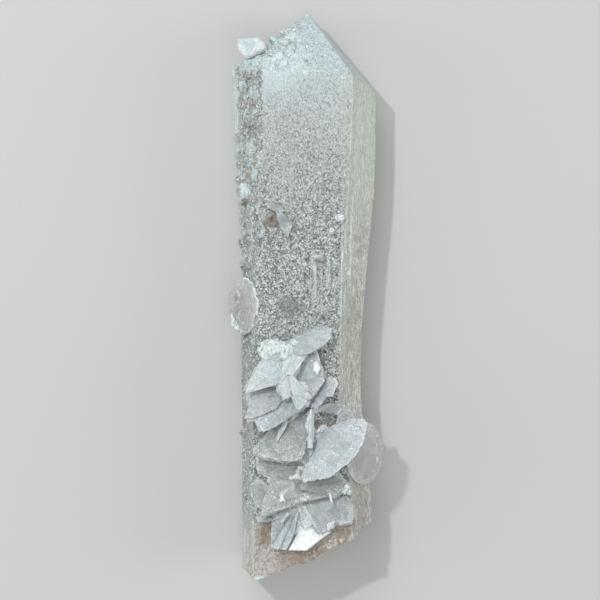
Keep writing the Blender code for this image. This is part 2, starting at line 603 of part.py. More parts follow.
def build_small_calcite(parts, cutters, envelope, material):
    """The discs, the blade on the shoulder, the wedge and the grains."""
    side = disc("calcite_side_disc", SIDE_DISC[:3], SIDE_DISC[3], 1.7, SIDE_DISC[4], parts, material)
    edge = disc("calcite_edge_disc", EDGE_DISC[:3], EDGE_DISC[3], 2.2, EDGE_DISC[4], parts, material)
    top = plate("calcite_top_blade", leaning(TOP_BLADE, TOP_BLADE_FOOT, TOP_BLADE_RISE),
                TOP_BLADE_THICK, parts, material=material)
    wedge = plate("calcite_wedge", leaning(WEDGE, (-4.6, 67.0, 17.4), (0.12, -0.1)), 1.5, parts,
                  material=material)
    pieces = [side, edge, top, wedge]
    for name, (x, y, z), size in GRAINS:
        grain = lump(name, (x, y, z), size, parts, rough=0.1)
        grain.hide_render = False
        grain.display_type = "SOLID"
        grain.data.materials.append(material)
        pieces.append(grain)
    for piece in pieces:
        boolean(piece, envelope, "DIFFERENCE")
    return pieces


def centre_on_floor(parts):
    """Moves everything so that the origin is the bottom centre of the bounding box."""
    bpy.context.view_layer.update()
    graph = bpy.context.evaluated_depsgraph_get()
    corners = []
    for thing in parts.objects:
        body = thing.evaluated_get(graph)
        corners += [body.matrix_world @ vert.co for vert in body.data.vertices]
    low = [min(corner[axis] for corner in corners) for axis in range(3)]
    high = [max(corner[axis] for corner in corners) for axis in range(3)]
    shift = Vector(((low[0] + high[0]) / 2, (low[1] + high[1]) / 2, low[2]))
    for thing in bpy.data.objects:
        thing.location -= shift
    bpy.context.view_layer.update()


def main():
    parts, cutters = start_scene()
    milky_quartz = make_material("milky_quartz", (0.46, 0.50, 0.48), 0.35, 0.2, 1.544)
    calcite = make_material("calcite", (0.60, 0.67, 0.69), 0.25, 0.6, 1.6)
    quartz = build_quartz(parts, cutters, milky_quartz)
    cut_seat(quartz, cutters)
    envelope = add_object("quartz_clearance", crystal_mesh(GAP + SKIN, detail=False), cutters)
    hide_tool(envelope)
    build_rosette(parts, cutters, envelope, calcite)
    build_small_calcite(parts, cutters, envelope, calcite)
    centre_on_floor(parts)


main()
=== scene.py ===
# %% [markdown]
# # A velvet quartz with a rosette of calcite
#
# The specimen is one flattened quartz crystal. Its front and left sides are furred with thousands
# of tiny crystal faces that catch the light one by one, which miners call velvet. Its right side is
# silky and has long growth lines. On the lower front sits a rosette of thin calcite blades.
#
# The crystal's solid is loaded as a fixed frame. Its plain faces are rebuilt here on a fine, even
# mesh and given their relief. The calcite blades are lofted again, thinner and with more detail.

import math

import bmesh
import bpy
import numpy as np
from mathutils import Matrix, Vector, noise


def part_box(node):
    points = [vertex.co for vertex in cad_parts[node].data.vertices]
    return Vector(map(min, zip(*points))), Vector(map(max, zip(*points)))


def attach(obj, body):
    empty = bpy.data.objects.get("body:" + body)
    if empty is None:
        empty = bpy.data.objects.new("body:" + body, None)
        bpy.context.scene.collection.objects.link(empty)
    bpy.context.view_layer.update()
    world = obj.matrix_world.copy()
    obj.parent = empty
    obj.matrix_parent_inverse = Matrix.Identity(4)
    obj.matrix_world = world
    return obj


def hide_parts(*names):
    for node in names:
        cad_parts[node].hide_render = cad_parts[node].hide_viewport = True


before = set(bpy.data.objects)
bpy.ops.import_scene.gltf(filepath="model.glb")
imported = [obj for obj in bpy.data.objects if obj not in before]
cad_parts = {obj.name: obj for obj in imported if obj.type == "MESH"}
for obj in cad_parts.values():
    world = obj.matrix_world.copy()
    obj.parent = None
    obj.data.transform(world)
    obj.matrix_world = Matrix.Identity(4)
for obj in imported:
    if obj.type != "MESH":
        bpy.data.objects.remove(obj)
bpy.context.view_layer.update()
MM = 0.001

# %% [markdown]
# Places on the crystal are given in plan millimetres: across from the middle of the front face, and
# along from the lowest corner of the broken base. Two known points of the quartz, its tip and its
# widest place, tell how far that plan is from the frame's origin.

# %% Plan to frame
TIP_ALONG = 106.0
WIDEST_ACROSS = 13.45
_, quartz_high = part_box("quartz_crystal")
PLAN_ORIGIN = Vector((quartz_high.x / MM - WIDEST_ACROSS, quartz_high.y / MM - TIP_ALONG, 0.0))


def to_frame(x, y, z):
    """A plan point in millimetres as a point of the frame in metres."""
    return (Vector((x, y, z)) + PLAN_ORIGIN) * MM


print("plan origin", [round(value, 2) for value in PLAN_ORIGIN], "mm")

# %% [markdown]
# Every finished piece is a mesh object at the origin that rides on the only body and stands for the
# plain solid that it covers.


# %% Finish a piece
def in_scene(name, data):
    """A new object of the scene that holds the data."""
    thing = bpy.data.objects.new(name, data)
    bpy.context.scene.collection.objects.link(thing)
    return thing


def as_mesh(bm, name):
    """The bmesh as a mesh. The bmesh itself is freed."""
    mesh = bpy.data.meshes.new(name)
    bm.to_mesh(mesh)
    bm.free()
    return mesh


def finish_piece(name, mesh, materials, node):
    mesh.name = name
    piece = in_scene(name, mesh)
    for material in materials:
        mesh.materials.append(material)
    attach(piece, "root")
    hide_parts(node)
    print(name, len(mesh.polygons), "faces")


# %% [markdown]
# ## The crystal's fine mesh
#
# The solid is a shell of large and small triangles. A voxel remesh turns it into an even skin that
# can carry relief. The front, the sides and the broken base need it that fine. The back and the low
# edges don't, so a vertex group lets Decimate thin them, and the whole stays a light mesh.


# %% Remesh and read a mesh
def applied(piece):
    """The piece's mesh with its modifiers applied."""
    graph = bpy.context.evaluated_depsgraph_get()
    return bpy.data.meshes.new_from_object(piece.evaluated_get(graph))


def voxel_skin(piece, cell):
    """The outside of the piece as one even mesh. The cell is in metres."""
    grid = piece.modifiers.new("even_grid", "REMESH")
    grid.mode = "VOXEL"
    grid.voxel_size = cell
    return applied(piece)


def vertex_fields(mesh):
    """The places and the normals of all points, each as an array of rows."""
    fields = []
    for kind in ("co", "normal"):
        values = np.empty(len(mesh.vertices) * 3)
        mesh.vertices.foreach_get(kind, values)
        fields.append(values.reshape(-1, 3))
    return fields


# %% Rebuild the crystal's skin
SKIN_CELL = 0.24 * MM
KEPT_SHARE = 0.62          # how many faces Decimate keeps
LOW_EDGE = 7.0 * MM        # below this height the sides turn under


def even_skin(node):
    bm = bmesh.new()
    bm.from_mesh(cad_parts[node].data)
    bmesh.ops.remove_doubles(bm, verts=bm.verts, dist=1e-6)
    piece = in_scene("skin", as_mesh(bm, "skin"))
    skin = voxel_skin(piece, SKIN_CELL)
    piece.modifiers.clear()
    piece.data = skin

    points, normals = vertex_fields(skin)
    upward, base = normals[:, 2], normals[:, 1] < -0.6
    hidden = (upward < -0.2) | ((points[:, 2] < LOW_EDGE) & (upward < 0.3))
    group = piece.vertex_groups.new(name="coarse")
    group.add(np.nonzero(~base & hidden)[0].tolist(), 1.0, "REPLACE")
    thin = piece.modifiers.new("thin_back", "DECIMATE")
    thin.ratio = KEPT_SHARE
    thin.vertex_group = "coarse"
    mesh = applied(piece)
    bpy.data.objects.remove(piece)
    return mesh


quartz_mesh = even_skin("quartz_crystal")
print("quartz skin", len(quartz_mesh.vertices), "points", len(quartz_mesh.polygons), "faces")

# %% [markdown]
# ## Velvet, growth lines and lumps
#
# On the real crystal the velvet is a carpet of small crystal faces, half a millimetre across, that
# all lean in a few set directions. Cell noise makes them: every point finds its nearest seed, and
# the seed's own lean tilts the skin there. The helpers below work on arrays with one row for every
# point of the mesh.


# %% Helpers for relief
def ease(values, low, high):
    """0 below low, 1 above high, and a smooth step between."""
    t = np.clip((values - low) / (high - low), 0.0, 1.0)
    return t * t * (3.0 - 2.0 * t)


def near(places, x, y, wide, long):
    """1 at a plan point, fading to 0 at an ellipse round it."""
    reach = np.hypot((places[:, 0] - x) / wide, (places[:, 1] - y) / long)
    return 1.0 - ease(reach, 0.35, 1.0)


def spots(places, table):
    """The strongest of the table's spots at every place."""
    return np.max([strength * near(places, *spot) for *spot, strength in table], axis=0)


def bar(places, x0, y0, x1, y1, half_width):
    """A low ridge between two plan points: 1 on its middle line, 0 outside and at its ends."""
    start, run = np.array((x0, y0)), np.array((x1 - x0, y1 - y0))
    share = np.clip((places[:, :2] - start) @ run / (run @ run), 0.0, 1.0)
    away = np.linalg.norm(places[:, :2] - start - share[:, None] * run, axis=1)
    ends = ease(share, 0.0, 0.12) * ease(-share, -1.0, -0.8)
    return (1.0 - ease(away / half_width, 0.2, 1.0)) * ends


def wave(places, scale, offset=0.0):
    """Smooth noise from -1 to 1 at every place, with one length scale or one for each direction."""
    scaled = places / np.array(scale) + offset
    return np.array([noise.noise(Vector(place)) for place in scaled.tolist()])


# %% Small leaning faces
LEANS = [Vector((math.cos(turn), math.sin(turn), 0.0)) for turn in (1.57, 3.4, 5.6)]
FACE_LENGTH = 1.35         # of a small face along the crystal, over its width


def micro_faces(places, cell):
    """Heights of a carpet of small leaning faces, about -1 to 1."""
    heights = []
    for spot in (places / np.array((cell, cell * FACE_LENGTH, cell))).tolist():
        place = Vector(spot)
        seed = noise.voronoi(place)[1][0]
        lean = LEANS[int(abs(noise.cell(seed * 17.3)) * 97) % len(LEANS)]
        heights.append((place - seed).dot(lean) + 0.5 * noise.cell(seed * 5.7))
    return np.array(heights)


# %% [markdown]
# The places below are read off the crystal in plan millimetres: the brown hollows and lip, partly
# iron stain and partly painted shade, the chalky white spots, the smooth patch in the middle of the
# front, the shell-shaped breaks of the base and the long ridges that growth left behind.

# %% Places on the crystal
# Brown marks, partly iron stain and partly painted shade in the hollows; the broad one on the lip
# of the break is painted brown shade and reflection.
STAINS_AND_SHADE = (                 # across, along, half width, half length, strength
    (-5.7, 66.3, 2.2, 2.8, 0.65), (-11.2, 70.0, 1.1, 0.9, 0.9), (2.7, 59.0, 1.6, 1.0, 0.45),
    (-2.8, 62.8, 2.2, 2.4, 0.22), (-9.6, 75.0, 1.2, 3.2, 0.5), (-10.6, 84.0, 1.4, 3.5, 0.35),
    (1.0, 4.0, 8.0, 5.0, 0.65), (-9.8, 29.3, 1.4, 1.7, 0.7), (-7.0, 10.2, 1.6, 2.0, 0.9),
    (7.4, 10.2, 2.6, 1.4, 0.8), (-6.8, 26.6, 1.5, 2.6, 1.0), (4.2, 29.0, 2.6, 2.6, 0.4),
    (-11.4, 36.0, 1.0, 20.0, 0.35), (10.5, 14.0, 2.0, 9.0, 0.35), (-7.2, 8.9, 1.7, 2.6, 0.9),
    (6.8, 8.8, 2.4, 2.6, 0.8), (10.8, 64.0, 0.9, 6.0, 0.28), (9.8, 50.0, 0.8, 4.0, 0.3),
    (9.6, 46.0, 2.2, 16.0, 0.2),
)
CHALKY = (
    (-11.2, 72.5, 1.4, 1.9, 1.0), (-8.8, 97.0, 4.2, 2.6, 0.8), (-4.0, 97.0, 3.0, 2.4, 0.75),
    (-1.6, 95.4, 1.8, 1.2, 0.8), (-9.3, 75.6, 0.9, 1.6, 0.7), (0.3, 94.2, 0.7, 0.7, 1.0),
    (2.3, 60.2, 1.2, 0.5, 0.8), (-7.6, 65.0, 0.6, 1.2, 0.7), (-5.6, 64.7, 0.9, 0.4, 0.8),
    (7.9, 17.2, 1.3, 1.4, 0.7), (-8.3, 0.9, 1.4, 0.7, 0.7), (-9.9, 80.0, 1.0, 2.6, 0.5),
    (10.9, 77.6, 0.3, 1.8, 0.6), (10.7, 83.6, 0.25, 1.5, 0.4), (9.2, 53.9, 0.3, 1.6, 0.5),
    (10.4, 55.1, 0.25, 0.8, 0.5), (8.2, 57.2, 0.6, 0.6, 0.8),
)
SMOOTH_PATCH = (-2.6, 50.8, 4.0, 3.4)
SCOOPS = (                 # across, height, radius, depth
    (3.5, 5.0, 7.5, 0.9), (-5.0, 11.0, 6.0, 0.7), (-6.5, 3.5, 4.5, 0.5), (5.5, 13.0, 4.0, 0.6),
)
GROWTH_RIDGES = (          # across and along of both ends, half width, height
    (1.9, 59.6, 2.2, 51.6, 0.70, 0.24), (1.1, 57.0, 1.3, 52.5, 0.45, 0.14),
    (4.4, 60.6, 4.7, 53.4, 0.70, 0.21), (5.5, 60.0, 5.7, 50.6, 0.50, 0.15),
    (3.3, 56.0, 3.4, 49.5, 0.45, 0.14), (-3.9, 78.6, -3.9, 69.0, 0.35, 0.08),
    (-2.6, 77.0, -2.5, 68.0, 0.30, 0.08), (7.2, 72.0, 6.6, 42.0, 0.30, 0.20),
    (8.0, 70.0, 7.3, 45.0, 0.28, 0.16), (9.0, 73.0, 8.4, 50.0, 0.26, 0.12),
    (-9.4, 2.0, -9.4, 26.0, 0.34, -0.20), (-8.6, 8.0, -8.6, 30.0, 0.30, -0.10),
)
print(len(STAINS_AND_SHADE), "stains,", len(CHALKY), "chalky spots,", len(SCOOPS), "scoops,",
      len(GROWTH_RIDGES), "ridges")

# %% [markdown]
# The direction that the skin faces, and how far along the crystal it lies, decide what grows on it.
# Each zone is an array of shares from 0 to 1, so zones can be multiplied and added. On the left the
# growth reaches down to a ragged line; below it the side is silky like the right one.

# %% Zones of the crystal
points, normals = vertex_fields(quartz_mesh)
places = points / MM - np.array(PLAN_ORIGIN)
across, along, height = places.T
to_right, to_tip, upward = normals.T
FULLY, MOSTLY = (0.75, 0.93), (0.3, 0.6)       # how much of a normal counts as facing that way

front, back = ease(upward, *FULLY), ease(-upward, *FULLY)
point_end, broken_base = ease(to_tip, 0.35, 0.55), ease(-to_tip, 0.4, 0.7)
left = ease(-to_right, *MOSTLY) * ease(upward, 0.0, 0.25)
right = ease(to_right, *MOSTLY) * (1 - point_end)
under = ease(-to_right, *MOSTLY) * ease(-upward, 0.0, 0.25) * (1 - point_end)
growth_line = height + 1.6 * wave(places, 3.0, 37.0) + 0.03 * (50 - along)
druzy = left * ease(growth_line, 6.6, 9.2) * ease(along, 7.0, 17.0)
shoulder = ease(along, 93.5, 96.5) * ease(1.0 - across - 0.35 * (along - 96), -1.5, 1.5)
edge_lines = front * ease(across, 6.4, 7.6) * (1 - point_end)
worn_front = front * (1 - ease(along, 8.0, 16.0))
calm = near(places, *SMOOTH_PATCH)
clean_top = front * near(places, -5.0, 96.0, 7.0, 9.0)
ends_fade = (1 - 0.4 * ease(along, 80.0, 96.0)) * (0.15 + 0.85 * ease(along, 8.0, 15.0))
velvet = front * (1 - 0.7 * calm) * (1 - 0.5 * clean_top) * ends_fade + 1.2 * druzy + 0.3 * shoulder
print("the front is", round(float(front.mean()), 2), "of the skin, the left strip",
      round(float(druzy.mean()), 2))

# %% [markdown]
# A handful of patterns at different scales is enough for all of the relief, each read at shifted
# places so that none repeats another. The table says how high each pattern rises and where. Adding
# its rows gives every point its lift along its normal.

# %% Patterns and their heights
small, tiny = micro_faces(places, 0.55), micro_faces(places + 31.0, 0.34)
chunks, steps = micro_faces(places + 13.0, 1.25), micro_faces(places + 41.0, 2.6)
lumps = wave(places, (1.1, 1.5, 1.1)) + 0.5 * wave(places, (0.55, 0.7, 0.55), 7.0)
lines = wave(places, (0.42, 16.0, 0.36)) + 0.6 * wave(places, (0.2, 9.0, 0.17), 3.0)
ripples = wave(places, (5.0, 0.5, 3.0), 11.0)
chips = wave(places, 2.2, 5.0) + 0.6 * wave(places, 0.8, 9.0)

RELIEF = (                 # pattern, height in millimetres, where
    (small, 0.052, velvet), (tiny, 0.040, velvet + 0.25),
    (lumps, 0.16, druzy), (lumps, 0.20, shoulder * (front + left)),
    (chunks, 0.30, druzy), (chunks, 0.26, shoulder * (front + left + point_end)),
    (lines, 0.030, right), (lines, 0.10, edge_lines), (lines, 0.022, under + back),
    (ripples, 0.018, front), (ripples, 0.03, worn_front),
    (small, 0.07, worn_front), (chunks, 0.07, worn_front), (chips, 0.05, worn_front),
    (small, 0.035, point_end), (chunks, 0.05, point_end), (chips, 0.03, point_end),
    (steps, 0.16, broken_base), (small, 0.10, broken_base), (chips, 0.10, broken_base),
    (chips, 0.05, back),
)
lift = sum(pattern * rise * where for pattern, rise, where in RELIEF)
print("relief from", round(float(lift.min()), 2), "to", round(float(lift.max()), 2), "mm")

# %% [markdown]
# Quartz breaks like glass, in shallow shells with rings round them. Each scoop sinks the base and
# marks its fresh rings and lip, which are whiter than the rest.

# %% Shell-shaped breaks and growth ridges
RINGS, RING_HEIGHT = 30.0, 0.05
fresh = np.zeros(len(points))
for x, z, radius, depth in SCOOPS:
    reach = np.hypot(across - x, height - z) / radius + 0.06 * lumps
    rings = np.sin(reach * RINGS) * ease(reach, 0.2, 0.7)
    inside = broken_base * (1 - ease(reach, 0.6, 1.0))
    lift -= inside * (depth * (1 - reach ** 2) + RING_HEIGHT * rings)
    lip = broken_base * ease(reach, 0.8, 0.95) * (1 - ease(reach, 0.97, 1.1))
    fresh = np.max((fresh, 0.5 * inside * ease(rings, 0.2, 0.9), 0.8 * lip), axis=0)

crooked = places[:, :2].copy()
crooked[:, 0] += 0.18 * wave(places, (60.0, 1.6, 60.0), 19.0)
broken = 0.7 + 0.9 * wave(places, (1.2, 0.9, 3.0), 29.0)
ridges = np.zeros(len(points))
for *ends, half_width, rise in GROWTH_RIDGES:
    shape = bar(crooked, *ends, half_width) * ease(upward, 0.3, 0.5) * broken
    lift += rise * shape
    ridges = np.maximum(ridges, shape)

points += normals * (lift * MM)[:, None]
points[:, 2] = np.maximum(points[:, 2], 0.0)
quartz_mesh.vertices.foreach_set("co", points.ravel())
quartz_mesh.update()
print("lift from", round(float(lift.min()), 2), "to", round(float(lift.max()), 2), "mm")

# %% [markdown]
# Brown marks the hollows and the lip of the break: partly iron stain, partly painted shade in the
# hollows and a painted brown reflection on the lip. Bruised or freshly broken quartz is chalky
# white.
# The marks wander off their ellipses, as anything that seeped in with water does.

# %% Stains, painted shade and chalk
wandering = places + 2.0 * wave(places, 2.0, 23.0)[:, None]
patchy = 1 + 0.8 * wave(places, 0.7, 17.0)
from_above = ease(upward, 0.0, 0.3)

# Brown in the hollows, on the lip and on the broken base: partly iron stain, partly painted shade
# and reflection.
stain_and_shade = np.clip(spots(wandering, STAINS_AND_SHADE) * patchy, 0.0, 1.0) * from_above
stain_and_shade = np.maximum(stain_and_shade, 0.35 * broken_base * ease(chips + 0.5 * steps, 0.0, 1.2))

druzy_chalk = (0.3 + 0.4 * ease(along, 35.0, 65.0)) * druzy
chalk = np.max((0.9 * shoulder * ease(chunks + lumps, -0.9, 0.7),
                druzy_chalk * ease(chunks + lumps + 0.5 * small, 0.4, 1.0),
                spots(places, CHALKY),
                0.32 * ridges * ease(along, 30.0, 50.0)), axis=0) * from_above
chalk = np.maximum(chalk, 0.75 * fresh * ease(chips + small, -0.8, 0.8))
print("stained", round(float(stain_and_shade.mean()), 3), "chalky", round(float(chalk.mean()), 3))

# %% [markdown]
# The material has to know the zones too. Each goes along with the mesh as an attribute, which a
# material reads with an Attribute node.

# %% Zones for the material
velvet *= (1 - 0.45 * ridges) * (1 - 0.7 * stain_and_shade)
# Blue-white towards the tip: partly frost, partly painted sky light from above.
frosty_lit_tip = np.maximum(0.75 * front * ease(along, 78.0, 98.0), clean_top)
FIELDS = {
    "velvet": velvet + point_end * (0.42 - 0.2 * front) * ease(upward, -0.2, 0.3),
    "silk": right + 0.8 * (under + back) + 0.5 * (edge_lines + broken_base) + left - druzy,
    "tip": frosty_lit_tip + point_end * ease(upward, -0.2, 0.5),
    "lively": np.maximum(front * (1 - ease(along, 62.0, 82.0)), 0.75 * druzy),
    "worn": front * (1 - ease(along, 7.0, 14.0)),
    "green": ease(along, 40.0, 85.0), "calm": calm * front, "stain_and_shade": stain_and_shade, "chalk": chalk,
}
for name, values in FIELDS.items():
    layer = quartz_mesh.attributes.new(name, "FLOAT", "POINT")
    layer.data.foreach_set("value", np.clip(values, 0.0, 1.0).astype(np.float32))
    print(name, "covers", round(float(values.mean()), 2), "of the skin")

# %% [markdown]
# Tiny crystal faces are flat, so the velvet is shaded flat and glints face by face. The silky side
# and the back are shaded smooth, or their even mesh would show.

# %% Shade the skin
SMOOTH_BELOW = 0.25        # of velvet
corners = np.empty(len(quartz_mesh.loops), dtype=np.int32)
quartz_mesh.loops.foreach_get("vertex_index", corners)
starts = np.empty(len(quartz_mesh.polygons), dtype=np.int32)
quartz_mesh.polygons.foreach_get("loop_start", starts)
smooth = FIELDS["velvet"][corners[starts]] < SMOOTH_BELOW
quartz_mesh.polygons.foreach_set("use_smooth", smooth)
print(int(smooth.sum()), "smooth faces of", len(quartz_mesh.polygons))

# %% [markdown]
# ## Materials
#
# Small node helpers keep each material short. Everything that varies over the surface goes through
# nodes; what is the same all over, such as the refractive index, is set on the shader itself.


# %% Node helpers
class Nodes:
    def __init__(self, tree):
        self.tree = tree

    def add(self, kind, **settings):
        node = self.tree.nodes.new(("" if kind.startswith("Node") else "ShaderNode") + kind)
        for name, value in settings.items():
            setattr(node, name, value)
        return node

    def join(self, source, target):
        self.tree.links.new(source, target)

    def set(self, socket, value):
        if isinstance(value, bpy.types.NodeSocket):
            self.join(value, socket)
        else:
            socket.default_value = value

    def math(self, operation, a, b=0.0, c=0.0, clamp=False):
        node = self.add("Math", operation=operation, use_clamp=clamp)
        for socket, value in zip(node.inputs, (a, b, c)):
            self.set(socket, value)
        return node.outputs[0]

    def times(self, a, b):
        return self.math("MULTIPLY", a, b)

    def sum(self, first, *others):
        for other in others:
            first = self.math("ADD", first, other)
        return first

    def mix(self, share, a, b, blend="MIX"):
        node = self.add("Mix", data_type="RGBA", blend_type=blend)
        self.set(node.inputs["Factor"], share)
        for socket, colour in (("A", a), ("B", b)):
            plain = not isinstance(colour, bpy.types.NodeSocket)
            self.set(node.inputs[socket], (*colour, 1.0) if plain else colour)
        return node.outputs["Result"]

    def vector(self, operation, a, b=None, scale=None):
        node = self.add("VectorMath", operation=operation)
        self.set(node.inputs[0], a)
        if b is not None:
            self.set(node.inputs[1], b)
        if scale is not None:
            self.set(node.inputs["Scale"], scale)
        return node.outputs["Value" if operation == "DOT_PRODUCT" else "Vector"]

    def part(self, vector, axis):
        split = self.add("SeparateXYZ")
        self.join(vector, split.inputs[0])
        return split.outputs[axis]

    def span(self, value, low, high, to_low=0.0, to_high=1.0):
        node = self.add("MapRange")
        for name, number in (("Value", value), ("From Min", low), ("From Max", high),
                             ("To Min", to_low), ("To Max", to_high)):
            self.set(node.inputs[name], number)
        return node.outputs["Result"]

    def bump(self, *heights):
        """The normal of a surface raised by these heights, in metres."""
        node = self.add("Bump")
        node.inputs["Distance"].default_value = 1.0
        self.join(self.sum(*heights), node.inputs["Height"])
        return node.outputs["Normal"]


# %% Where a pattern is read
class Patterns(Nodes):
    def field(self, name):
        """One of the mesh's own attributes."""
        return self.add("Attribute", attribute_name=name).outputs["Fac"]

    def place(self, stretch=(1.0, 1.0, 1.0)):
        """Object coordinates in millimetres, stretched."""
        spot = self.add("Mapping")
        self.join(self.add("TexCoord").outputs["Object"], spot.inputs["Vector"])
        spot.inputs["Scale"].default_value = [share / MM for share in stretch]
        return spot.outputs["Vector"]

    def noise_at(self, place, scale, detail=3.0):
        node = self.add("TexNoise")
        self.join(place, node.inputs["Vector"])
        node.inputs["Scale"].default_value = scale
        node.inputs["Detail"].default_value = detail
        return node.outputs["Fac"]

    def noise(self, stretch, scale, detail=3.0):
        return self.noise_at(self.place(stretch), scale, detail)


def new_material(name, ior=None, scatter=0.0, colour=(1.0, 1.0, 1.0)):
    """ior is the refractive index. scatter is how much light wanders about a millimetre inside."""
    material = bpy.data.materials.new(name)
    material.use_nodes = True
    shader = material.node_tree.nodes["Principled BSDF"]
    if ior:
        shader.inputs["IOR"].default_value = ior
    if scatter:
        shader.inputs["Subsurface Weight"].default_value = scatter
        shader.inputs["Subsurface Radius"].default_value = colour
        shader.inputs["Subsurface Scale"].default_value = MM
    return material, Patterns(material.node_tree), shader


def paint(nodes, shader, colour, roughness, *heights):
    """Joins what varies over the surface to the shader. Heights are in metres."""
    nodes.join(colour, shader.inputs["Base Color"])
    nodes.join(roughness, shader.inputs["Roughness"])
    nodes.join(nodes.bump(*heights), shader.inputs["Normal"])


# %% [markdown]
# Both minerals sparkle because their skin is broken into tiny flat faces, finer than the mesh. One
# node group makes them for every material: cell noise gives each point its nearest seed, the seed's
# random colour is read as a direction, and the height grows along that direction inside the cell.
# The material's Bump node turns this into one flat lean per cell. The group also puts out a random
# tone, which the quartz turns into painted glints and painted shade, and the calcite blades into
# painted shade.


# %% Sparkle group
def sparkle_group():
    tree = bpy.data.node_groups.new("sparkle", "ShaderNodeTree")
    for name, way in (("Cell mm", "INPUT"), ("Lean", "INPUT"), ("Height", "OUTPUT"),
                      ("Tone", "OUTPUT")):
        tree.interface.new_socket(name, in_out=way, socket_type="NodeSocketFloat")
    nodes = Patterns(tree)
    given = nodes.add("NodeGroupInput").outputs
    place = nodes.vector("SCALE", nodes.place(), scale=nodes.math("DIVIDE", 1.0, given["Cell mm"]))
    cells = nodes.add("TexVoronoi", feature="F1")
    nodes.join(place, cells.inputs["Vector"])
    cells.inputs["Scale"].default_value = 1.0
    offset = nodes.vector("SUBTRACT", place, cells.outputs["Position"])
    lean = nodes.vector("SUBTRACT", cells.outputs["Color"], (0.5, 0.5, 0.5))
    rise = nodes.vector("DOT_PRODUCT", offset, lean)
    depth = nodes.times(given["Lean"], nodes.times(given["Cell mm"], MM))
    out = nodes.add("NodeGroupOutput")
    nodes.join(nodes.times(rise, depth), out.inputs["Height"])
    nodes.join(nodes.part(cells.outputs["Color"], "Y"), out.inputs["Tone"])
    return tree


SPARKLE = sparkle_group()


def add_sparkle(nodes, cell, lean):
    group = nodes.add("Group", node_tree=SPARKLE)
    nodes.set(group.inputs["Cell mm"], cell)
    nodes.set(group.inputs["Lean"], lean)
    return group.outputs


print("sparkle group:", len(SPARKLE.nodes), "nodes")

# %% [markdown]
# Milky quartz lets light in a little way, so it has some subsurface scattering. Its grey-green body
# is patchy and turns blue-white at the tip, partly frost and partly painted sky light from above.
# In the velvet some of the small faces carry painted shade and some carry painted glints.

# %% Colours of the velvet, with painted glints and painted shade
PATCHES = (0.43, 0.465, 0.455), (0.55, 0.595, 0.58)
LIVELY = (0.225, 0.247, 0.24)          # the dark body under the brightest velvet
# blue-white of the tip, partly frost and partly painted sky light from above
FROSTY_LIT_TIP = (0.59, 0.705, 0.725)
CALM_PATCH = (0.18, 0.205, 0.20)
# painted shade and painted glints on the small faces of the velvet
SHADED_FACE = (0.42, 0.42, 0.41)         # how much of its colour a dark face keeps
GLINT = (0.96, 1.0, 0.99)
SHADED_TONES, COARSE_GLINTS, FINE_GLINTS = (0.42, 0.16), (0.72, 0.82), (0.6, 1.0, 0.0, 0.65)


def velvet_colour(nodes, coarse, fine, tone):
    lively = nodes.field("lively")
    body = nodes.mix(nodes.span(nodes.noise((1.0, 0.5, 1.0), 0.14), 0.3, 0.7), *PATCHES)
    body = nodes.mix(nodes.times(lively, 0.6), body, LIVELY)
    body = nodes.mix(nodes.field("tip"), body, FROSTY_LIT_TIP)
    body = nodes.mix(nodes.field("calm"), body, CALM_PATCH)
    depth = nodes.times(nodes.field("velvet"), nodes.math("MULTIPLY_ADD", lively, 0.35, 0.7))
    # Painted shade on the small faces with a low tone, painted glints on those with a high tone.
    dark = nodes.mix(1.0, body, SHADED_FACE, "MULTIPLY")
    body = nodes.mix(nodes.times(depth, nodes.span(tone, *SHADED_TONES)), body, dark)
    glints = nodes.math("MAXIMUM", nodes.span(coarse, *COARSE_GLINTS),
                        nodes.span(fine, *FINE_GLINTS))
    return nodes.mix(nodes.times(depth, glints), body, GLINT)


# %% [markdown]
# The silky sides have short light and dark dashes along the crystal, and turn greener towards the
# tip. A few faces carry a painted glint here too, but far fewer than in the velvet.

# %% Colours of the silky sides
SILK = (0.47, 0.47, 0.435), (0.62, 0.64, 0.60)
LIGHT_DASH, DARK_DASH = (0.90, 0.93, 0.90), (0.30, 0.295, 0.265)
SILK_GLINT = (0.92, 0.95, 0.92)
GREENISH = (0.69, 0.79, 0.66)


def silk_colour(nodes, coarse, fine, streaks, dashes):
    silk = nodes.mix(nodes.span(streaks, 0.35, 0.7), *SILK)
    silk = nodes.mix(nodes.span(dashes, 0.54, 0.62, 0.0, 0.8), silk, LIGHT_DASH)
    silk = nodes.mix(nodes.span(dashes, 0.46, 0.36, 0.0, 0.75), silk, DARK_DASH)
    # painted glints on the small faces with a high tone
    silk = nodes.mix(nodes.span(coarse, 0.72, 0.84, 0.0, 0.6), silk, SILK_GLINT)
    silk = nodes.mix(nodes.span(fine, 0.3, 0.15, 0.0, 0.5), silk, DARK_DASH)
    return nodes.mix(nodes.times(nodes.field("green"), 0.45), silk, GREENISH)


# %% [markdown]
# The quartz puts both together. Above the base the front is worn and gritty, the hollows and the
# lip are brown, partly from iron and partly from painted shade and a painted reflection, and the
# bruises are chalky. The bump is made of the sparkling faces and, on the sides, of the same streaks
# and dashes that give the colour.

# %% Quartz material
QUARTZ_IOR = 1.544
GRIT = (0.36, 0.325, 0.285), (0.58, 0.565, 0.52)
# the brown of the iron stains, and of the painted shade and reflection
IRON_AND_SHADE = (0.30, 0.225, 0.165)
CHALK = (0.84, 0.98, 0.98)
LINE_HEIGHT = 0.06 * MM


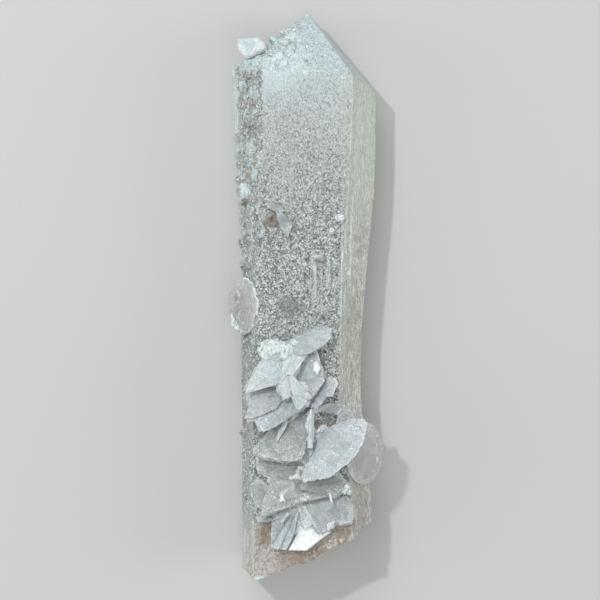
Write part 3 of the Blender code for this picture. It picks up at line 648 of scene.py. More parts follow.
def milky_quartz():
    material, nodes, shader = new_material("milky_quartz", QUARTZ_IOR, 0.1, (1.0, 1.0, 0.95))
    coarse = add_sparkle(nodes, 0.27, nodes.math("MULTIPLY_ADD", nodes.field("velvet"), 1.8, 0.25))
    fine = add_sparkle(nodes, 0.2, 0.3)
    tone = nodes.sum(nodes.times(coarse["Tone"], 0.6), nodes.times(fine["Tone"], 0.4))
    streaks = nodes.noise((1.0, 0.12, 1.0), 0.9, 5.0)
    dashes = nodes.noise((1.0, 0.15, 1.0), 4.4, 3.0)
    grooves = nodes.noise((1.0, 0.7, 1.0), 2.8, 6.0)

    body = velvet_colour(nodes, coarse["Tone"], fine["Tone"], tone)
    body = nodes.mix(nodes.field("worn"), body, nodes.mix(nodes.span(grooves, 0.38, 0.6), *GRIT))
    silk = silk_colour(nodes, coarse["Tone"], fine["Tone"], streaks, dashes)
    for name, colour in (("silk", silk), ("stain_and_shade", IRON_AND_SHADE), ("chalk", CHALK)):
        body = nodes.mix(nodes.field(name), body, colour)
    lines = nodes.sum(nodes.times(nodes.sum(streaks, dashes), nodes.field("silk")),
                      nodes.times(grooves, nodes.field("worn")))
    paint(nodes, shader, body, nodes.span(tone, 0.2, 0.8, 0.38, 0.14),
          coarse["Height"], fine["Height"], nodes.times(lines, LINE_HEIGHT))
    print("milky_quartz:", len(nodes.tree.nodes), "nodes")
    return material


finish_piece("quartz_body", quartz_mesh, [milky_quartz()], "quartz_crystal")

# %% [markdown]
# Calcite blades are thin and see-through like lightly frosted glass. Their rims, growth steps and
# streaks are white. The milkier blades let less light through, so they are materials of the same
# kind with less transmission, and the milkiest scatter light inside instead. The transmission and
# the index of refraction are plain values of the shader.

# %% Calcite material
CALCITE_IOR = 1.6          # calcite bends light by 1.49 or 1.66, as the light is polarised
SHADED = (0.80, 0.80, 0.81)            # how much of its colour a face turned away keeps


def calcite(name, body, frosted, clearness, haze=0.35, rays=0.7, arcs=0.5):
    """haze, rays and arcs say how white its clouds, its streaks and its growth steps are."""
    scatter = 0.4 if clearness < 0.5 else 0.0
    material, nodes, shader = new_material("calcite_" + name, CALCITE_IOR, scatter)
    spread = nodes.add("Attribute", attribute_name="spread").outputs["Vector"]
    outward = nodes.part(spread, "Z")
    ray_lines = nodes.noise_at(nodes.vector("MULTIPLY", spread, (12.0, 12.0, 1.0)), 1.0, 4.0)
    arc_lines = nodes.noise_at(nodes.vector("MULTIPLY", spread, (1.2, 1.2, 20.0)), 1.0, 2.0)
    cloud = nodes.noise((1.0, 1.0, 1.0), 0.8, 4.0)
    ray = nodes.times(nodes.span(ray_lines, 0.46, 0.62, 0.0, 0.75 * rays), outward)
    arc = nodes.times(nodes.span(arc_lines, 0.5, 0.62, 0.0, arcs), nodes.times(outward, outward))
    # Painted glow towards the rim, made patchy by cloud noise.
    glow = nodes.times(nodes.field("glow"), nodes.span(cloud, 0.35, 0.6, 0.35, 1.2))
    frost = nodes.sum(ray, arc, glow, nodes.span(cloud, 0.45, 0.75, 0.0, haze))
    frost = nodes.math("MAXIMUM", nodes.field("rim"), frost, clamp=True)

    broad = add_sparkle(nodes, 2.4, 0.22)
    shade = nodes.mix(1.0, body, SHADED, "MULTIPLY")
    plain = nodes.mix(nodes.span(broad["Tone"], 0.2, 0.8), shade, body)
    sparkle = add_sparkle(nodes, 0.5, nodes.math("MULTIPLY_ADD", frost, 0.7, 0.06))
    lines = nodes.times(nodes.sum(ray_lines, arc_lines), 0.09 * MM)
    shader.inputs["Transmission Weight"].default_value = clearness
    paint(nodes, shader, nodes.mix(frost, plain, frosted), nodes.span(frost, 0.0, 1.0, 0.12, 0.38),
          broad["Height"], sparkle["Height"], lines)
    return material


# %% [markdown]
# Where calcite is broken into grains, as on the rims, the crust and the small white crystals, no
# light comes through in one piece. These finishes only mix two tones of a colour and sparkle.


# %% Frosted calcite
def frosted_calcite(name, dark, light, cell, lean):
    material, nodes, shader = new_material("calcite_" + name, CALCITE_IOR, 0.3)
    sparkle = add_sparkle(nodes, cell, lean)
    cloud = nodes.noise((1.0, 1.0, 1.0), 0.6)
    tone = nodes.sum(nodes.times(cloud, 0.5), nodes.times(sparkle["Tone"], 0.5))
    paint(nodes, shader, nodes.mix(nodes.span(tone, 0.3, 0.7), dark, light),
          nodes.span(tone, 0.3, 0.7, 0.4, 0.2), sparkle["Height"])
    return material


# %% Calcite finishes
CALCITES = {               # body, frosted parts, clearness, then haze, rays and arcs
    "clear": ((0.78, 0.85, 0.865), (0.97, 1.0, 1.0), 0.58),
    "smoky": ((0.69, 0.715, 0.715), (0.93, 0.95, 0.95), 0.6, 0.25),
    "milky": ((0.765, 0.86, 0.885), (0.95, 1.0, 1.0), 0.5),
    "pale": ((0.66, 0.80, 0.83), (0.93, 1.0, 1.0), 0.3, 0.5, 0.8, 0.4),
    "snow": ((0.85, 0.99, 1.0), (0.91, 1.0, 1.0), 0.2, 0.5, 0.8, 0.4),
    "disc": ((0.83, 0.83, 0.815), (1.0, 1.0, 1.0), 0.5, 0.4, 0.2, 1.0),
    "dull": ((0.50, 0.57, 0.55), (0.74, 0.82, 0.80), 0.3),
}
FROSTED = {                # dark and light tone, then the width in mm and the lean of its faces
    "crust": ((0.62, 0.66, 0.66), (0.86, 0.92, 0.925), 0.7, 0.8),
    "sand": ((0.46, 0.42, 0.37), (0.80, 0.77, 0.70), 0.4, 1.2),
    "white": ((0.74, 0.84, 0.84), (0.96, 1.0, 1.0), 0.3, 1.2),
    "edge": ((0.66, 0.75, 0.77), (0.97, 1.0, 1.0), 0.25, 1.0),
    "bright": ((0.86, 0.92, 0.93), (1.0, 1.0, 1.0), 0.35, 0.5),
    "dull_edge": ((0.56, 0.62, 0.61), (0.82, 0.88, 0.86), 0.3, 0.9),
}
FINISH = {name: calcite(name, *values) for name, values in CALCITES.items()}
FINISH.update({name: frosted_calcite(name, *values) for name, values in FROSTED.items()})
print("calcites:", ", ".join(FINISH))

# %% [markdown]
# ## Calcite blades
#
# Each blade is a thin, closed lens that fans out from a root. A grid is bent into it: one way along
# the grid runs round the outline, the other runs from the root out to the rim on the back and home
# again on the front. Both ends of the grid meet, so merging doubles closes it. Streaks radiate from
# the root, growth steps follow the rim, and the rim itself is finely notched.


# %% Outlines
def round_outline(points, steps=6):
    """A smooth closed curve through the points."""
    curve = []
    count = len(points)
    for n in range(count):
        a, b, c, d = (points[(n + k) % count] for k in (-1, 0, 1, 2))
        for k in range(steps):
            t = k / steps
            curve.append(0.5 * (2 * b + (c - a) * t + (2 * a - 5 * b + 4 * c - d) * t * t
                                + (3 * b - a - 3 * c + d) * t ** 3))
    return curve


def along_outline(points, count):
    """Points at even steps round a closed outline."""
    ends = points[1:] + points[:1]
    lengths = [(b - a).length for a, b in zip(points, ends)]
    step = sum(lengths) / count
    spread = []
    covered = 0.0
    for a, b, length in zip(points, ends, lengths):
        while len(spread) * step < covered + length - 1e-9 and len(spread) < count:
            spread.append(a.lerp(b, (len(spread) * step - covered) / length))
        covered += length
    return spread


# %% [markdown]
# The frost on the rim and a painted glow that whitens the blade inside it are worked out with the
# shape, and so is the spread that the streaks of the material follow: the direction from the root
# and the share of the way out.

# %% Blade
RIM_WIDTH = 0.34           # how far the hard frost reaches in from a blade's rim, mm
GLOW_WIDTH = 2.0           # and the painted glow, further in
NOTCH_DEPTH = 0.035        # of the rim, as a share of the way from the root
STREAK_HEIGHT, STEP_HEIGHT = 0.035, 0.025
GROWTH_STEPS = 34.0        # how fast they follow one another on the way out


def clamp(value):
    return max(0.0, min(1.0, value))


def facing_up(rim, root):
    normal = Vector()
    for a, b in zip(rim, rim[1:] + rim[:1]):
        normal += (a - root).cross(b - root)
    normal.normalize()
    return -normal if normal.z < 0 else normal


def blade_mesh(outline, root, thick, dish=0.0, seed=0.0, taper=0.5, columns=144, rows=16):
    """outline and root are points in space (plan mm). Returns a closed mesh in frame metres."""
    rim = along_outline(outline, columns)
    normal = facing_up(rim, root)
    longest = max((corner - root).length for corner in rim)
    bm = bmesh.new()
    bmesh.ops.create_grid(bm, x_segments=columns, y_segments=2 * rows, size=0.5)
    rim_layer, glow_layer = (bm.verts.layers.float.new(layer) for layer in ("rim", "glow"))
    spread_layer = bm.verts.layers.float_vector.new("spread")
    for vert in bm.verts:
        column = round((vert.co.x + 0.5) * columns) % columns
        side = 1.0 if vert.co.y >= 0 else -1.0
        share = math.sin((1.0 - abs(vert.co.y) * 2.0) * math.pi / 2)
        turn = 2 * math.pi * column / columns
        circle = Vector((math.cos(turn), math.sin(turn), 0.0))
        notch = NOTCH_DEPTH * noise.noise(circle * columns * 0.14 + Vector((0, 0, seed)))
        streak = noise.noise(circle * 7.0 + Vector((0, 0, seed + share * 0.5)))
        streak += 0.7 * noise.noise(circle * 19.0 + Vector((0, 0, seed + share)))
        ring = math.sin(share * GROWTH_STEPS + 2.5 * streak) * share ** 3
        edge = math.sqrt(max(0.0, 1 - share ** 10))
        half = edge * (1.0 - taper * share) * thick / 2
        relief = (STREAK_HEIGHT * streak * share ** 2 + STEP_HEIGHT * ring) * edge
        place = root.lerp(rim[column], share * (1 + notch * share ** 4))
        vert.co = to_frame(*(place + normal * (dish * share ** 2 + side * (half + relief))))

        reach = (rim[column] - root).length
        inward = (1 - share) * reach
        grown = clamp((reach / longest - 0.3) / 0.35)
        patchy = 0.85 + 1.3 * noise.noise(circle * 4.0 + Vector((0, 0, seed + 9.0)))
        vert[rim_layer] = clamp((RIM_WIDTH * grown * patchy - inward) / 0.15)
        # the painted glow, strongest at the rim
        vert[glow_layer] = grown * max(0.0, 1 - inward / min(GLOW_WIDTH, 0.6 * reach)) ** 1.5
        vert[spread_layer] = (circle.x, circle.y, share)
    bmesh.ops.remove_doubles(bm, verts=bm.verts, dist=2e-6)
    bmesh.ops.recalc_face_normals(bm, faces=bm.faces)
    mesh = as_mesh(bm, "blade")
    mesh.shade_smooth()
    mesh.set_sharp_from_angle(angle=math.radians(35))
    return mesh


# %% [markdown]
# The faces along a blade's rim get a frosted finish of their own. All the calcite pieces below take
# their finishes by name, and most of them stand for the rosette.


# %% Finish a blade
def frost_rim(mesh, above=0.55):
    """Gives the faces along a blade's rim the second material of the piece."""
    rim = mesh.attributes["rim"].data
    for face in mesh.polygons:
        if min(rim[vertex].value for vertex in face.vertices) > above:
            face.material_index = 1


def finish_calcite(name, mesh, *finishes, node="calcite_rosette", slot="calcite_blade"):
    finish_piece("calcite_" + name, mesh, [FINISH[finish] for finish in finishes], node)


# %% [markdown]
# The blades below are listed as a maker would mark them on a drawing: the outline in plan, the root
# that its streaks spread from, the height of its plane at a known point, how steeply that plane
# rises across and along the crystal, its thickness, how far its rim dishes up, and how milky it is.

# %% Blades of the rosette
BLADES = (
    ("fan", ((11.5, 29.4), (11.4, 28.0), (10.8, 25.9), (9.7, 24.0), (8.3, 22.4), (6.8, 21.3),
             (4.7, 19.7), (2.7, 19.3), (-0.2, 18.9), (1.2, 21.3), (1.8, 23.8), (2.4, 25.9),
             (2.3, 27.1), (3.7, 28.0), (5.8, 29.2), (9.0, 30.3), (10.9, 30.3)),
     (3.0, 27.0), (2.0, 29.0, 17.0), (0.20, -0.40), 1.1, 0.4, 0.55),
    ("fan_flap", ((5.8, 29.2), (6.2, 30.9), (7.7, 32.8), (8.9, 31.5), (9.3, 30.4), (8.0, 29.4)),
     (7.6, 30.8), (7.6, 30.8, 17.7), (0.05, -0.30), 0.8, 0.0, 0.3),
    ("hollow_roof", ((1.1, 32.4), (4.9, 33.3), (7.6, 32.8), (6.2, 31.0), (3.4, 31.6), (1.5, 31.1)),
     (4.8, 32.2), (4.8, 32.2, 17.5), (0.05, -0.20), 0.6, 0.0, 0.3),
    ("wing", ((-4.1, 44.2), (-2.4, 45.1), (-0.7, 45.8), (0.9, 46.5), (2.6, 47.0), (5.0, 47.1),
              (5.1, 46.4), (5.0, 45.4), (3.4, 43.6), (0.9, 42.3), (-0.7, 41.9), (-2.6, 42.4)),
     (-2.2, 43.4), (0.5, 44.0, 18.4), (0.12, -0.42), 1.0, 0.0, 0.6),
    ("crest_leaf", ((-7.9, 44.5), (-6.7, 45.0), (-3.7, 44.5), (-2.2, 44.6), (-2.2, 41.9),
                    (-4.9, 40.8), (-7.7, 41.0)),
     (-3.4, 42.4), (-5.0, 42.5, 18.0), (0.25, -0.20), 1.3, 0.0, 0.9),
    ("upper_left", ((-10.9, 35.0), (-9.9, 37.2), (-9.0, 39.3), (-7.8, 41.1), (-6.4, 41.5),
                    (-3.7, 41.3), (-2.6, 39.8), (-3.2, 38.0), (-4.9, 36.7), (-7.8, 35.9)),
     (-4.2, 39.6), (-6.0, 38.5, 19.2), (0.10, -0.45), 0.9, 0.0, 0.9),
    ("right_leaf", ((0.3, 41.6), (2.2, 43.2), (2.6, 42.3), (3.4, 39.2), (3.8, 37.3), (2.6, 35.7),
                    (1.7, 34.4), (-0.4, 36.2), (-2.2, 38.3)),
     (0.2, 38.2), (2.0, 37.5, 18.4), (0.06, -0.20), 0.9, 0.0, 0.55),
    ("right_shell", ((5.7, 38.0), (6.3, 36.7), (5.7, 35.7), (5.3, 34.4), (4.2, 34.4), (3.4, 33.2),
                     (2.4, 32.2), (1.2, 32.4), (1.7, 34.3), (3.0, 36.3), (4.2, 37.4)),
     (2.6, 34.4), (3.6, 35.6, 17.5), (0.25, -0.25), 0.8, 0.0, 0.6),
    ("left_leaf", ((-10.9, 30.5), (-10.1, 32.8), (-10.7, 34.8), (-8.0, 36.0), (-4.9, 36.5),
                   (-4.0, 33.8), (-4.9, 32.4), (-8.0, 31.0), (-9.3, 30.5)),
     (-5.2, 35.4), (-7.5, 33.5, 18.7), (0.05, -0.40), 0.9, 0.0, 0.45),
    ("middle_leaf", ((-9.0, 30.1), (-7.5, 27.9), (-5.2, 29.0), (-3.0, 30.5), (0.0, 32.0),
                     (0.9, 33.7), (-2.4, 35.0), (-4.0, 34.2), (-4.9, 32.6), (-8.0, 31.2)),
     (-2.2, 33.8), (-3.5, 31.5, 18.7), (0.0, -0.38), 0.9, 0.0, 0.6),
    ("shell", ((-9.4, 24.5), (-7.5, 23.4), (-4.9, 22.8), (-2.6, 22.6), (-0.4, 23.2), (0.4, 25.6),
               (0.8, 28.6), (0.2, 31.6), (-2.8, 30.8), (-5.4, 29.2), (-7.2, 27.2), (-8.5, 25.8)),
     (-2.0, 28.4), (-3.5, 26.5, 18.0), (0.0, -0.33), 1.0, 0.3, 0.3),
    ("shell_ridge", ((-2.9, 30.1), (-3.3, 28.8), (-5.2, 25.6), (-4.7, 28.4)),
     (-3.9, 28.6), (-4.0, 28.6, 18.4), (0.35, -0.30), 0.4, 0.0, 0.95),
    ("low_leaf", ((-8.8, 23.2), (-5.4, 22.4), (-0.7, 22.8), (0.4, 20.4), (-0.2, 18.9), (-2.2, 18.9),
                  (-6.4, 19.3), (-8.6, 20.4)),
     (-1.6, 21.2), (-4.0, 21.0, 17.1), (0.0, -0.10), 0.8, 0.0, 0.15),
    ("lower_blade", ((-8.0, 12.4), (-7.5, 15.3), (-6.2, 19.3), (-2.6, 19.6), (0.0, 19.1),
                     (2.2, 18.9), (4.9, 19.4), (7.7, 18.0), (7.5, 16.8), (4.7, 16.2), (2.8, 15.6),
                     (0.0, 15.1), (-3.0, 14.2), (-5.2, 13.5)),
     (-0.6, 18.6), (-1.0, 16.5, 18.1), (0.0, -0.30), 0.9, 0.0, 0.35),
    ("lower_spike", ((-4.2, 17.2), (-3.9, 16.4), (-3.3, 15.0), (-3.9, 15.4), (-4.6, 15.0)),
     (-4.0, 15.9), (-4.0, 15.9, 18.8), (0.3, -0.4), 0.4, 0.0, 1.1),
    ("small_shell", ((-9.6, 18.5), (-9.8, 17.0), (-9.5, 15.5), (-8.6, 14.2), (-7.6, 13.7),
                     (-6.7, 14.8), (-6.4, 17.6), (-7.9, 19.1)),
     (-7.2, 17.0), (-8.0, 16.4, 17.1), (0.35, 0.0), 1.0, 0.0, 0.5),
    ("right_plate", ((-0.9, 17.4), (0.0, 18.7), (3.0, 19.3), (6.7, 20.0), (8.4, 18.5), (5.8, 16.3),
                     (2.8, 16.6)),
     (2.0, 18.2), (3.5, 18.0, 18.4), (-0.05, -0.10), 0.7, 0.0, 0.3),
    ("plate_spike", ((4.3, 17.4), (4.8, 17.2), (5.3, 15.0), (4.9, 15.1)),
     (4.8, 16.3), (4.8, 16.3, 18.7), (0.3, -0.3), 0.4, 0.0, 1.1),
    ("tab", ((-9.0, 12.3), (-7.9, 12.5), (-6.2, 12.2), (-5.0, 11.6), (-7.1, 11.2), (-8.6, 11.3)),
     (-6.8, 11.8), (-7.2, 11.8, 17.2), (0.0, -0.10), 0.8, 0.0, 0.6),
    ("ray_leaf", ((-6.0, 6.4), (-6.1, 9.2), (-6.0, 11.2), (-5.2, 12.9), (-3.7, 14.0), (-1.5, 14.2),
                  (-0.6, 12.9), (-0.9, 11.0), (-1.9, 8.8), (-3.0, 6.4)),
     (-2.6, 12.6), (-3.5, 10.0, 17.4), (0.05, -0.06), 0.9, 0.0, 0.45),
    ("ray_glint", ((-3.0, 13.3), (-2.7, 12.9), (-3.9, 11.4), (-4.4, 11.5)),
     (-3.5, 12.4), (-3.5, 12.4, 18.4), (0.3, -0.4), 0.3, 0.0, 0.95),
    ("lower_right", ((-0.5, 14.3), (2.8, 15.6), (4.7, 16.1), (7.7, 16.3), (9.0, 14.8), (9.0, 11.4),
                     (6.7, 10.9), (5.2, 11.4), (4.1, 11.2), (4.0, 9.9), (3.0, 9.2), (1.9, 10.8),
                     (0.5, 12.9)),
     (2.6, 14.4), (5.0, 12.5, 17.7), (-0.08, -0.26), 0.9, 0.0, 0.4),
    ("ray_right", ((-0.4, 14.3), (0.2, 14.3), (2.0, 11.6), (3.1, 9.3), (1.8, 10.7), (0.5, 12.7)),
     (1.1, 12.4), (1.1, 12.4, 18.7), (0.45, -0.10), 0.5, 0.0, 0.95),
    ("right_glint", ((1.7, 40.8), (2.5, 41.0), (3.0, 39.7), (2.5, 38.4), (1.8, 39.2)),
     (2.3, 39.8), (2.3, 39.8, 18.7), (0.15, -0.40), 0.5, 0.0, 1.1),
    ("ray_a", ((-1.2, 14.1), (-3.2, 11.4), (-5.9, 6.9), (-4.7, 6.5), (-2.6, 10.4)),
     (-2.8, 11.2), (-3.0, 10.5, 18.1), (-0.30, -0.15), 0.4, 0.0, 0.9),
    ("ray_b", ((-0.9, 13.9), (-2.6, 10.6), (-4.7, 6.5), (-3.3, 6.3), (-1.8, 9.4)),
     (-2.2, 10.8), (-2.4, 10.2, 18.2), (0.35, -0.15), 0.4, 0.0, 0.9),
    ("bright_facet", ((-0.5, 10.6), (1.5, 10.5), (2.8, 9.1), (4.0, 9.2), (5.1, 9.6), (2.8, 8.0),
                      (0.5, 6.2), (-2.9, 6.2)),
     (0.6, 8.6), (0.5, 8.5, 17.6), (0.10, -0.42), 0.8, 0.0, 1.1),
)
print(len(BLADES), "blades")

# %% [markdown]
# A blade's milkiness picks its finish, from clear and dull to a bright facet. The rounded ones, the
# fan and the shells, get a smooth curve through the points of their outline.

# %% Make the blades
ROUNDED = ("fan", "shell", "small_shell")
MILKINESS = (              # the finish of a blade that is milkier than this
    (1.0, "bright"), (0.92, "snow"), (0.8, "pale"), (0.5, "milky"), (0.38, "clear"),
    (-0.5, "smoky"), (-2.0, "dull"),
)


def leaning(outline, foot, rise):
    """Lifts plan points onto a plane through foot that rises across and along by rise."""
    return [Vector((x, y, foot[2] + rise[0] * (x - foot[0]) + rise[1] * (y - foot[1])))
            for x, y in outline]


def calcite_leaf(name, outline, root, foot, rise, thick, dish, milk, n=0, taper=0.5,
                 edge="edge", node="calcite_rosette"):
    rim = leaning(outline, foot, rise)
    if name in ROUNDED:
        rim = round_outline(rim)
    start = leaning([root], foot, rise)[0]
    mesh = blade_mesh(rim, start, thick, dish, seed=3.7 * n, taper=taper)
    if edge:
        frost_rim(mesh)
    finish = next(finish for least, finish in MILKINESS if milk > least)
    finish_calcite(name, mesh, finish, edge or finish, node=node)


for n, (name, *shape) in enumerate(BLADES):
    calcite_leaf(name, *shape, n=n)

# %% [markdown]
# Near the top of the rosette several blades cross, and their bright faces make a star with sharp
# ridges. These faces are listed with a height for every corner.

# %% Star
STAR = (                   # name, corners, root, thickness
    ("star_crest", ((-2.4, 42.5, 18.2), (0.3, 41.9, 18.8), (-2.0, 38.4, 21.0), (-3.0, 38.6, 20.9),
                    (-4.6, 36.8, 20.4), (-3.9, 40.8, 18.9)), (-2.6, 40.2, 19.7), 0.6),
    ("star_left", ((-4.9, 36.5, 20.2), (-3.9, 37.6, 20.6), (-3.0, 38.4, 20.8), (-2.6, 36.8, 20.7),
                   (-2.3, 34.5, 20.3), (-3.9, 33.8, 19.9)), (-3.5, 36.2, 20.5), 0.7),
    ("star_right", ((-3.0, 38.4, 20.6), (-2.0, 38.4, 20.9), (1.7, 34.3, 20.1), (0.9, 33.9, 19.9),
                    (-0.3, 34.4, 20.1), (-2.2, 34.8, 20.4), (-2.7, 36.6, 20.5)),
     (-1.4, 36.4, 20.5), 0.7),
    ("star_low", ((-2.3, 35.0, 20.3), (-0.3, 34.6, 20.0), (0.5, 34.2, 19.8), (-0.2, 32.6, 19.5),
                  (-1.2, 31.9, 19.5)), (-0.9, 33.9, 19.9), 0.6),
)

for n, (name, corners, root, thick) in enumerate(STAR):
    mesh = blade_mesh([Vector(corner) for corner in corners], Vector(root), thick,
                      seed=60.0 + n, taper=0.3)
    finish_calcite(name, mesh, "snow")

# %% [markdown]
# Where two faces meet there is a sharp ridge that catches the light. Each ridge is a splinter of
# white frosted calcite laid along the meeting line, which paints that highlight.

# %% Ridges of the star
RIDGES = (                 # name, from, to, half width
    ("a", (0.3, 42.0, 19.0), (-2.1, 38.5, 21.2), 0.16),
    ("b", (-1.4, 41.8, 19.0), (-3.3, 38.2, 21.1), 0.12),
    ("c", (-2.9, 38.5, 21.1), (1.6, 34.2, 20.3), 0.14),
    ("d", (-0.9, 36.0, 20.65), (1.3, 33.9, 20.1), 0.12),
    ("e", (0.7, 34.2, 20.0), (-1.0, 31.9, 19.7), 0.16),
    ("f", (-2.4, 34.8, 20.55), (-1.2, 32.0, 19.75), 0.12),
    ("g", (-2.9, 38.2, 21.1), (-4.8, 36.6, 20.4), 0.14),
    ("h", (-5.0, 41.2, 18.6), (-3.9, 37.4, 20.3), 0.12),
)


def splinter(start, end, half_width):
    start, end = Vector(start), Vector(end)
    side = (end - start).cross(Vector((0, 0, 1))).normalized() * half_width
    first, last = start.lerp(end, 0.2), start.lerp(end, 0.8)
    return [start, first + side, last + side, end, last - side, first - side]


for n, (name, start, end, half_width) in enumerate(RIDGES):
    outline = splinter(start, end, half_width)
    mesh = blade_mesh(outline, (outline[0] + outline[3]) / 2, thick=0.3, seed=90.0 + n,
                      columns=48, rows=4)
    finish_calcite("ridge_" + name, mesh, "white")

# %% [markdown]
# A real blade is rarely single: it is a stack of sheets, like the pages of a book. The larger ones
# get a second sheet a little below, turned a few degrees round the root, which also fills the gaps
# between neighbours with more clear crystal.

# %% Second sheets
PAIRED = {                 # turn in degrees, size, how much lower
    "wing": (5, 0.95, 0.7), "upper_left": (-4, 1.02, 0.7), "right_leaf": (7, 0.99, 0.6),
    "fan": (-4, 0.98, 0.7), "right_shell": (8, 0.98, 0.5), "left_leaf": (5, 1.04, 0.7),
    "middle_leaf": (-4, 1.05, 0.7), "shell": (5, 1.04, 0.7), "low_leaf": (-4, 1.04, 0.5),
    "lower_blade": (2, 1.04, 0.7), "right_plate": (-8, 1.05, 0.6), "ray_leaf": (6, 1.0, 0.6),
    "lower_right": (-4, 1.02, 0.6),
}
SHEET_MILK = 0.4

for n, (name, outline, root, foot, rise, thick, dish, _) in enumerate(BLADES):
    if name in PAIRED:
        turn, size, drop = PAIRED[name]
        spin = Matrix.Rotation(math.radians(turn), 2)
        start = Vector(root)
        sheet = [tuple(start + spin @ (Vector(point) - start) * size) for point in outline]
        calcite_leaf(name + "_sheet", sheet, root, (*foot[:2], foot[2] - drop), rise, 0.7 * thick,
                     dish, SHEET_MILK, n=n + 40, edge=None)

# %% [markdown]
# Under the lifted side of a blade, small sheets stand across it and tie it to the crystal. From
# above they are hidden, but from the broken end they fill the room under the blades. They are all
# put into one mesh.

# %% Ribs under the blades
RIBS = (                               # share of the way across the blade, lean
    (0.22, 1.1), (0.36, -0.8), (0.5, 0.5), (0.64, -1.2), (0.78, 0.9),
)
RIB_DROP = Vector((0, 0, 0.5))         # from the middle of the blade
RIB_LENGTH, RIB_FOOT = 2.4, 15.9
LEAST_TOP = 17.4                       # a blade that is lower than this needs no rib
ROOM_ACROSS = (-7.4, 6.0)              # further out a rib would show beside the blades


def lower_side(outline, x):
    """The lowest place along the crystal where the outline crosses x."""
    sides = zip(outline, outline[1:] + outline[:1])
    return min(y0 + (x - x0) * (y1 - y0) / (x1 - x0)
               for (x0, y0), (x1, y1) in sides if min(x0, x1) <= x < max(x0, x1))


def ribs(name, outline, root, foot, rise, *_):
    least, most = min(x for x, _ in outline), max(x for x, _ in outline)
    made = []
    for k, (share, lean) in enumerate(RIBS):
        x = least + share * (most - least)
        if not ROOM_ACROSS[0] < x + 1.3 * lean < ROOM_ACROSS[1]:
            continue
        start = lower_side(outline, x) + 0.6 + 0.5 * (k % 2)
        end = start + RIB_LENGTH
        top = leaning([(x, start), (x + 0.3 * lean, end)], foot, rise)
        if top[0].z < LEAST_TOP:
            continue
        corners = [top[0] - RIB_DROP, top[1] - RIB_DROP,
                   Vector((x + 1.3 * lean, end + 0.6, RIB_FOOT)),
                   Vector((x + lean, start + 0.5, RIB_FOOT))]
        made.append(blade_mesh(corners, sum(corners, Vector()) / 4, thick=0.6, seed=20.0 + k,
                               columns=40, rows=4))
    return made


bm = bmesh.new()
for blade in BLADES:
    if blade[0] in PAIRED:
        for rib in ribs(*blade):
            bm.from_mesh(rib)
            bpy.data.meshes.remove(rib)
finish_calcite("ribs", as_mesh(bm, "ribs"), "pale")

# %% [markdown]
# One blade stands on edge beside the fan, and from above only its pale upper edge shows: narrow at
# the top and broad at the foot. It is made in the same way, from corners in space.

# %% Upright blade
UPRIGHT = ((1.1, 32.2, 19.0), (1.4, 32.0, 19.0), (1.45, 29.6, 20.0), (1.6, 25.1, 20.2),
           (0.6, 25.1, 19.9), (0.8, 29.0, 20.0), (0.9, 30.4, 19.6))
UPRIGHT_ROOT = (1.05, 28.0, 20.0)
upright = blade_mesh([Vector(corner) for corner in UPRIGHT], Vector(UPRIGHT_ROOT), thick=1.3,
                     seed=50.0, taper=0.8)
frost_rim(upright, 0.5)
finish_calcite("upright", upright, "snow", "white")

# %% [markdown]
# The blades grow out of a low, knobbly crust of calcite, and a white crest of lumps stands at the
# top of the rosette. Lumps are joined into one skin by a voxel remesh, and cell noise cuts that
# skin into small crystal faces. More lumps fill the room between each large blade and the crystal.

# %% Crust under the blades
CRUST_LUMPS = (            # across, along, height, then half width, half length, half height
    (-3.8, 40.0, 16.6, 3.6, 4.4, 1.6), (-4.6, 33.0, 16.6, 3.8, 5.4, 1.6),
    (1.0, 37.0, 16.3, 3.4, 4.4, 0.9), (-2.6, 26.0, 16.4, 4.2, 5.0, 1.3),
    (3.4, 25.0, 16.4, 3.0, 4.0, 1.6), (0.2, 19.0, 16.4, 7.0, 3.8, 1.2),
    (0.2, 12.6, 16.4, 6.6, 4.4, 1.1), (1.15, 28.2, 17.3, 0.8, 3.8, 1.8),
)
CREST_LUMPS = (
    (-3.2, 36.8, 18.2, 2.0, 2.6, 2.1), (-2.4, 40.0, 17.9, 1.8, 2.3, 1.65),
    (-0.6, 35.5, 17.9, 1.9, 1.9, 1.55), (-1.3, 42.0, 17.6, 1.8, 1.2, 1.3),
    (-5.2, 37.6, 17.6, 1.4, 1.4, 1.4), (0.0, 33.6, 17.4, 1.1, 1.2, 1.2),
    (-6.0, 43.0, 17.4, 1.7, 1.5, 1.5), (-4.2, 43.2, 17.8, 1.5, 1.4, 1.4),
    (-7.2, 43.8, 17.2, 0.9, 0.8, 1.0), (-5.4, 44.3, 17.6, 1.0, 0.7, 1.0),
    (-2.8, 43.2, 18.2, 1.1, 1.0, 1.1), (-7.0, 41.9, 17.3, 0.9, 1.0, 1.1),
    (-1.8, 44.2, 17.9, 1.0, 0.7, 0.9), (-7.9, 42.9, 16.9, 0.6, 0.9, 0.8),
    (-3.6, 41.9, 18.6, 0.9, 0.8, 0.9),
)
FILLING_FOOT = 16.0        # just inside the front face, so that no gap opens under a lump


def filling(name, outline, root, foot, rise, *_):
    """Lumps that fill the room between a blade's inner half and the crystal."""
    middle = sum((Vector(point) for point in outline), Vector((0, 0))) / len(outline)
    lumps = []
    for share in (0.1, 0.5, 0.85, 1.25):
        x, y = Vector(root).lerp(middle, share)
        top = foot[2] + rise[0] * (x - foot[0]) + rise[1] * (y - foot[1]) - 0.5
        room = 0.75 * min((Vector((x, y)) - Vector(point)).length for point in outline)
        if name in PAIRED and top > FILLING_FOOT + 0.8:
            lumps.append((x, y, (top + FILLING_FOOT) / 2, room, room, (top - FILLING_FOOT) / 2))
    return lumps


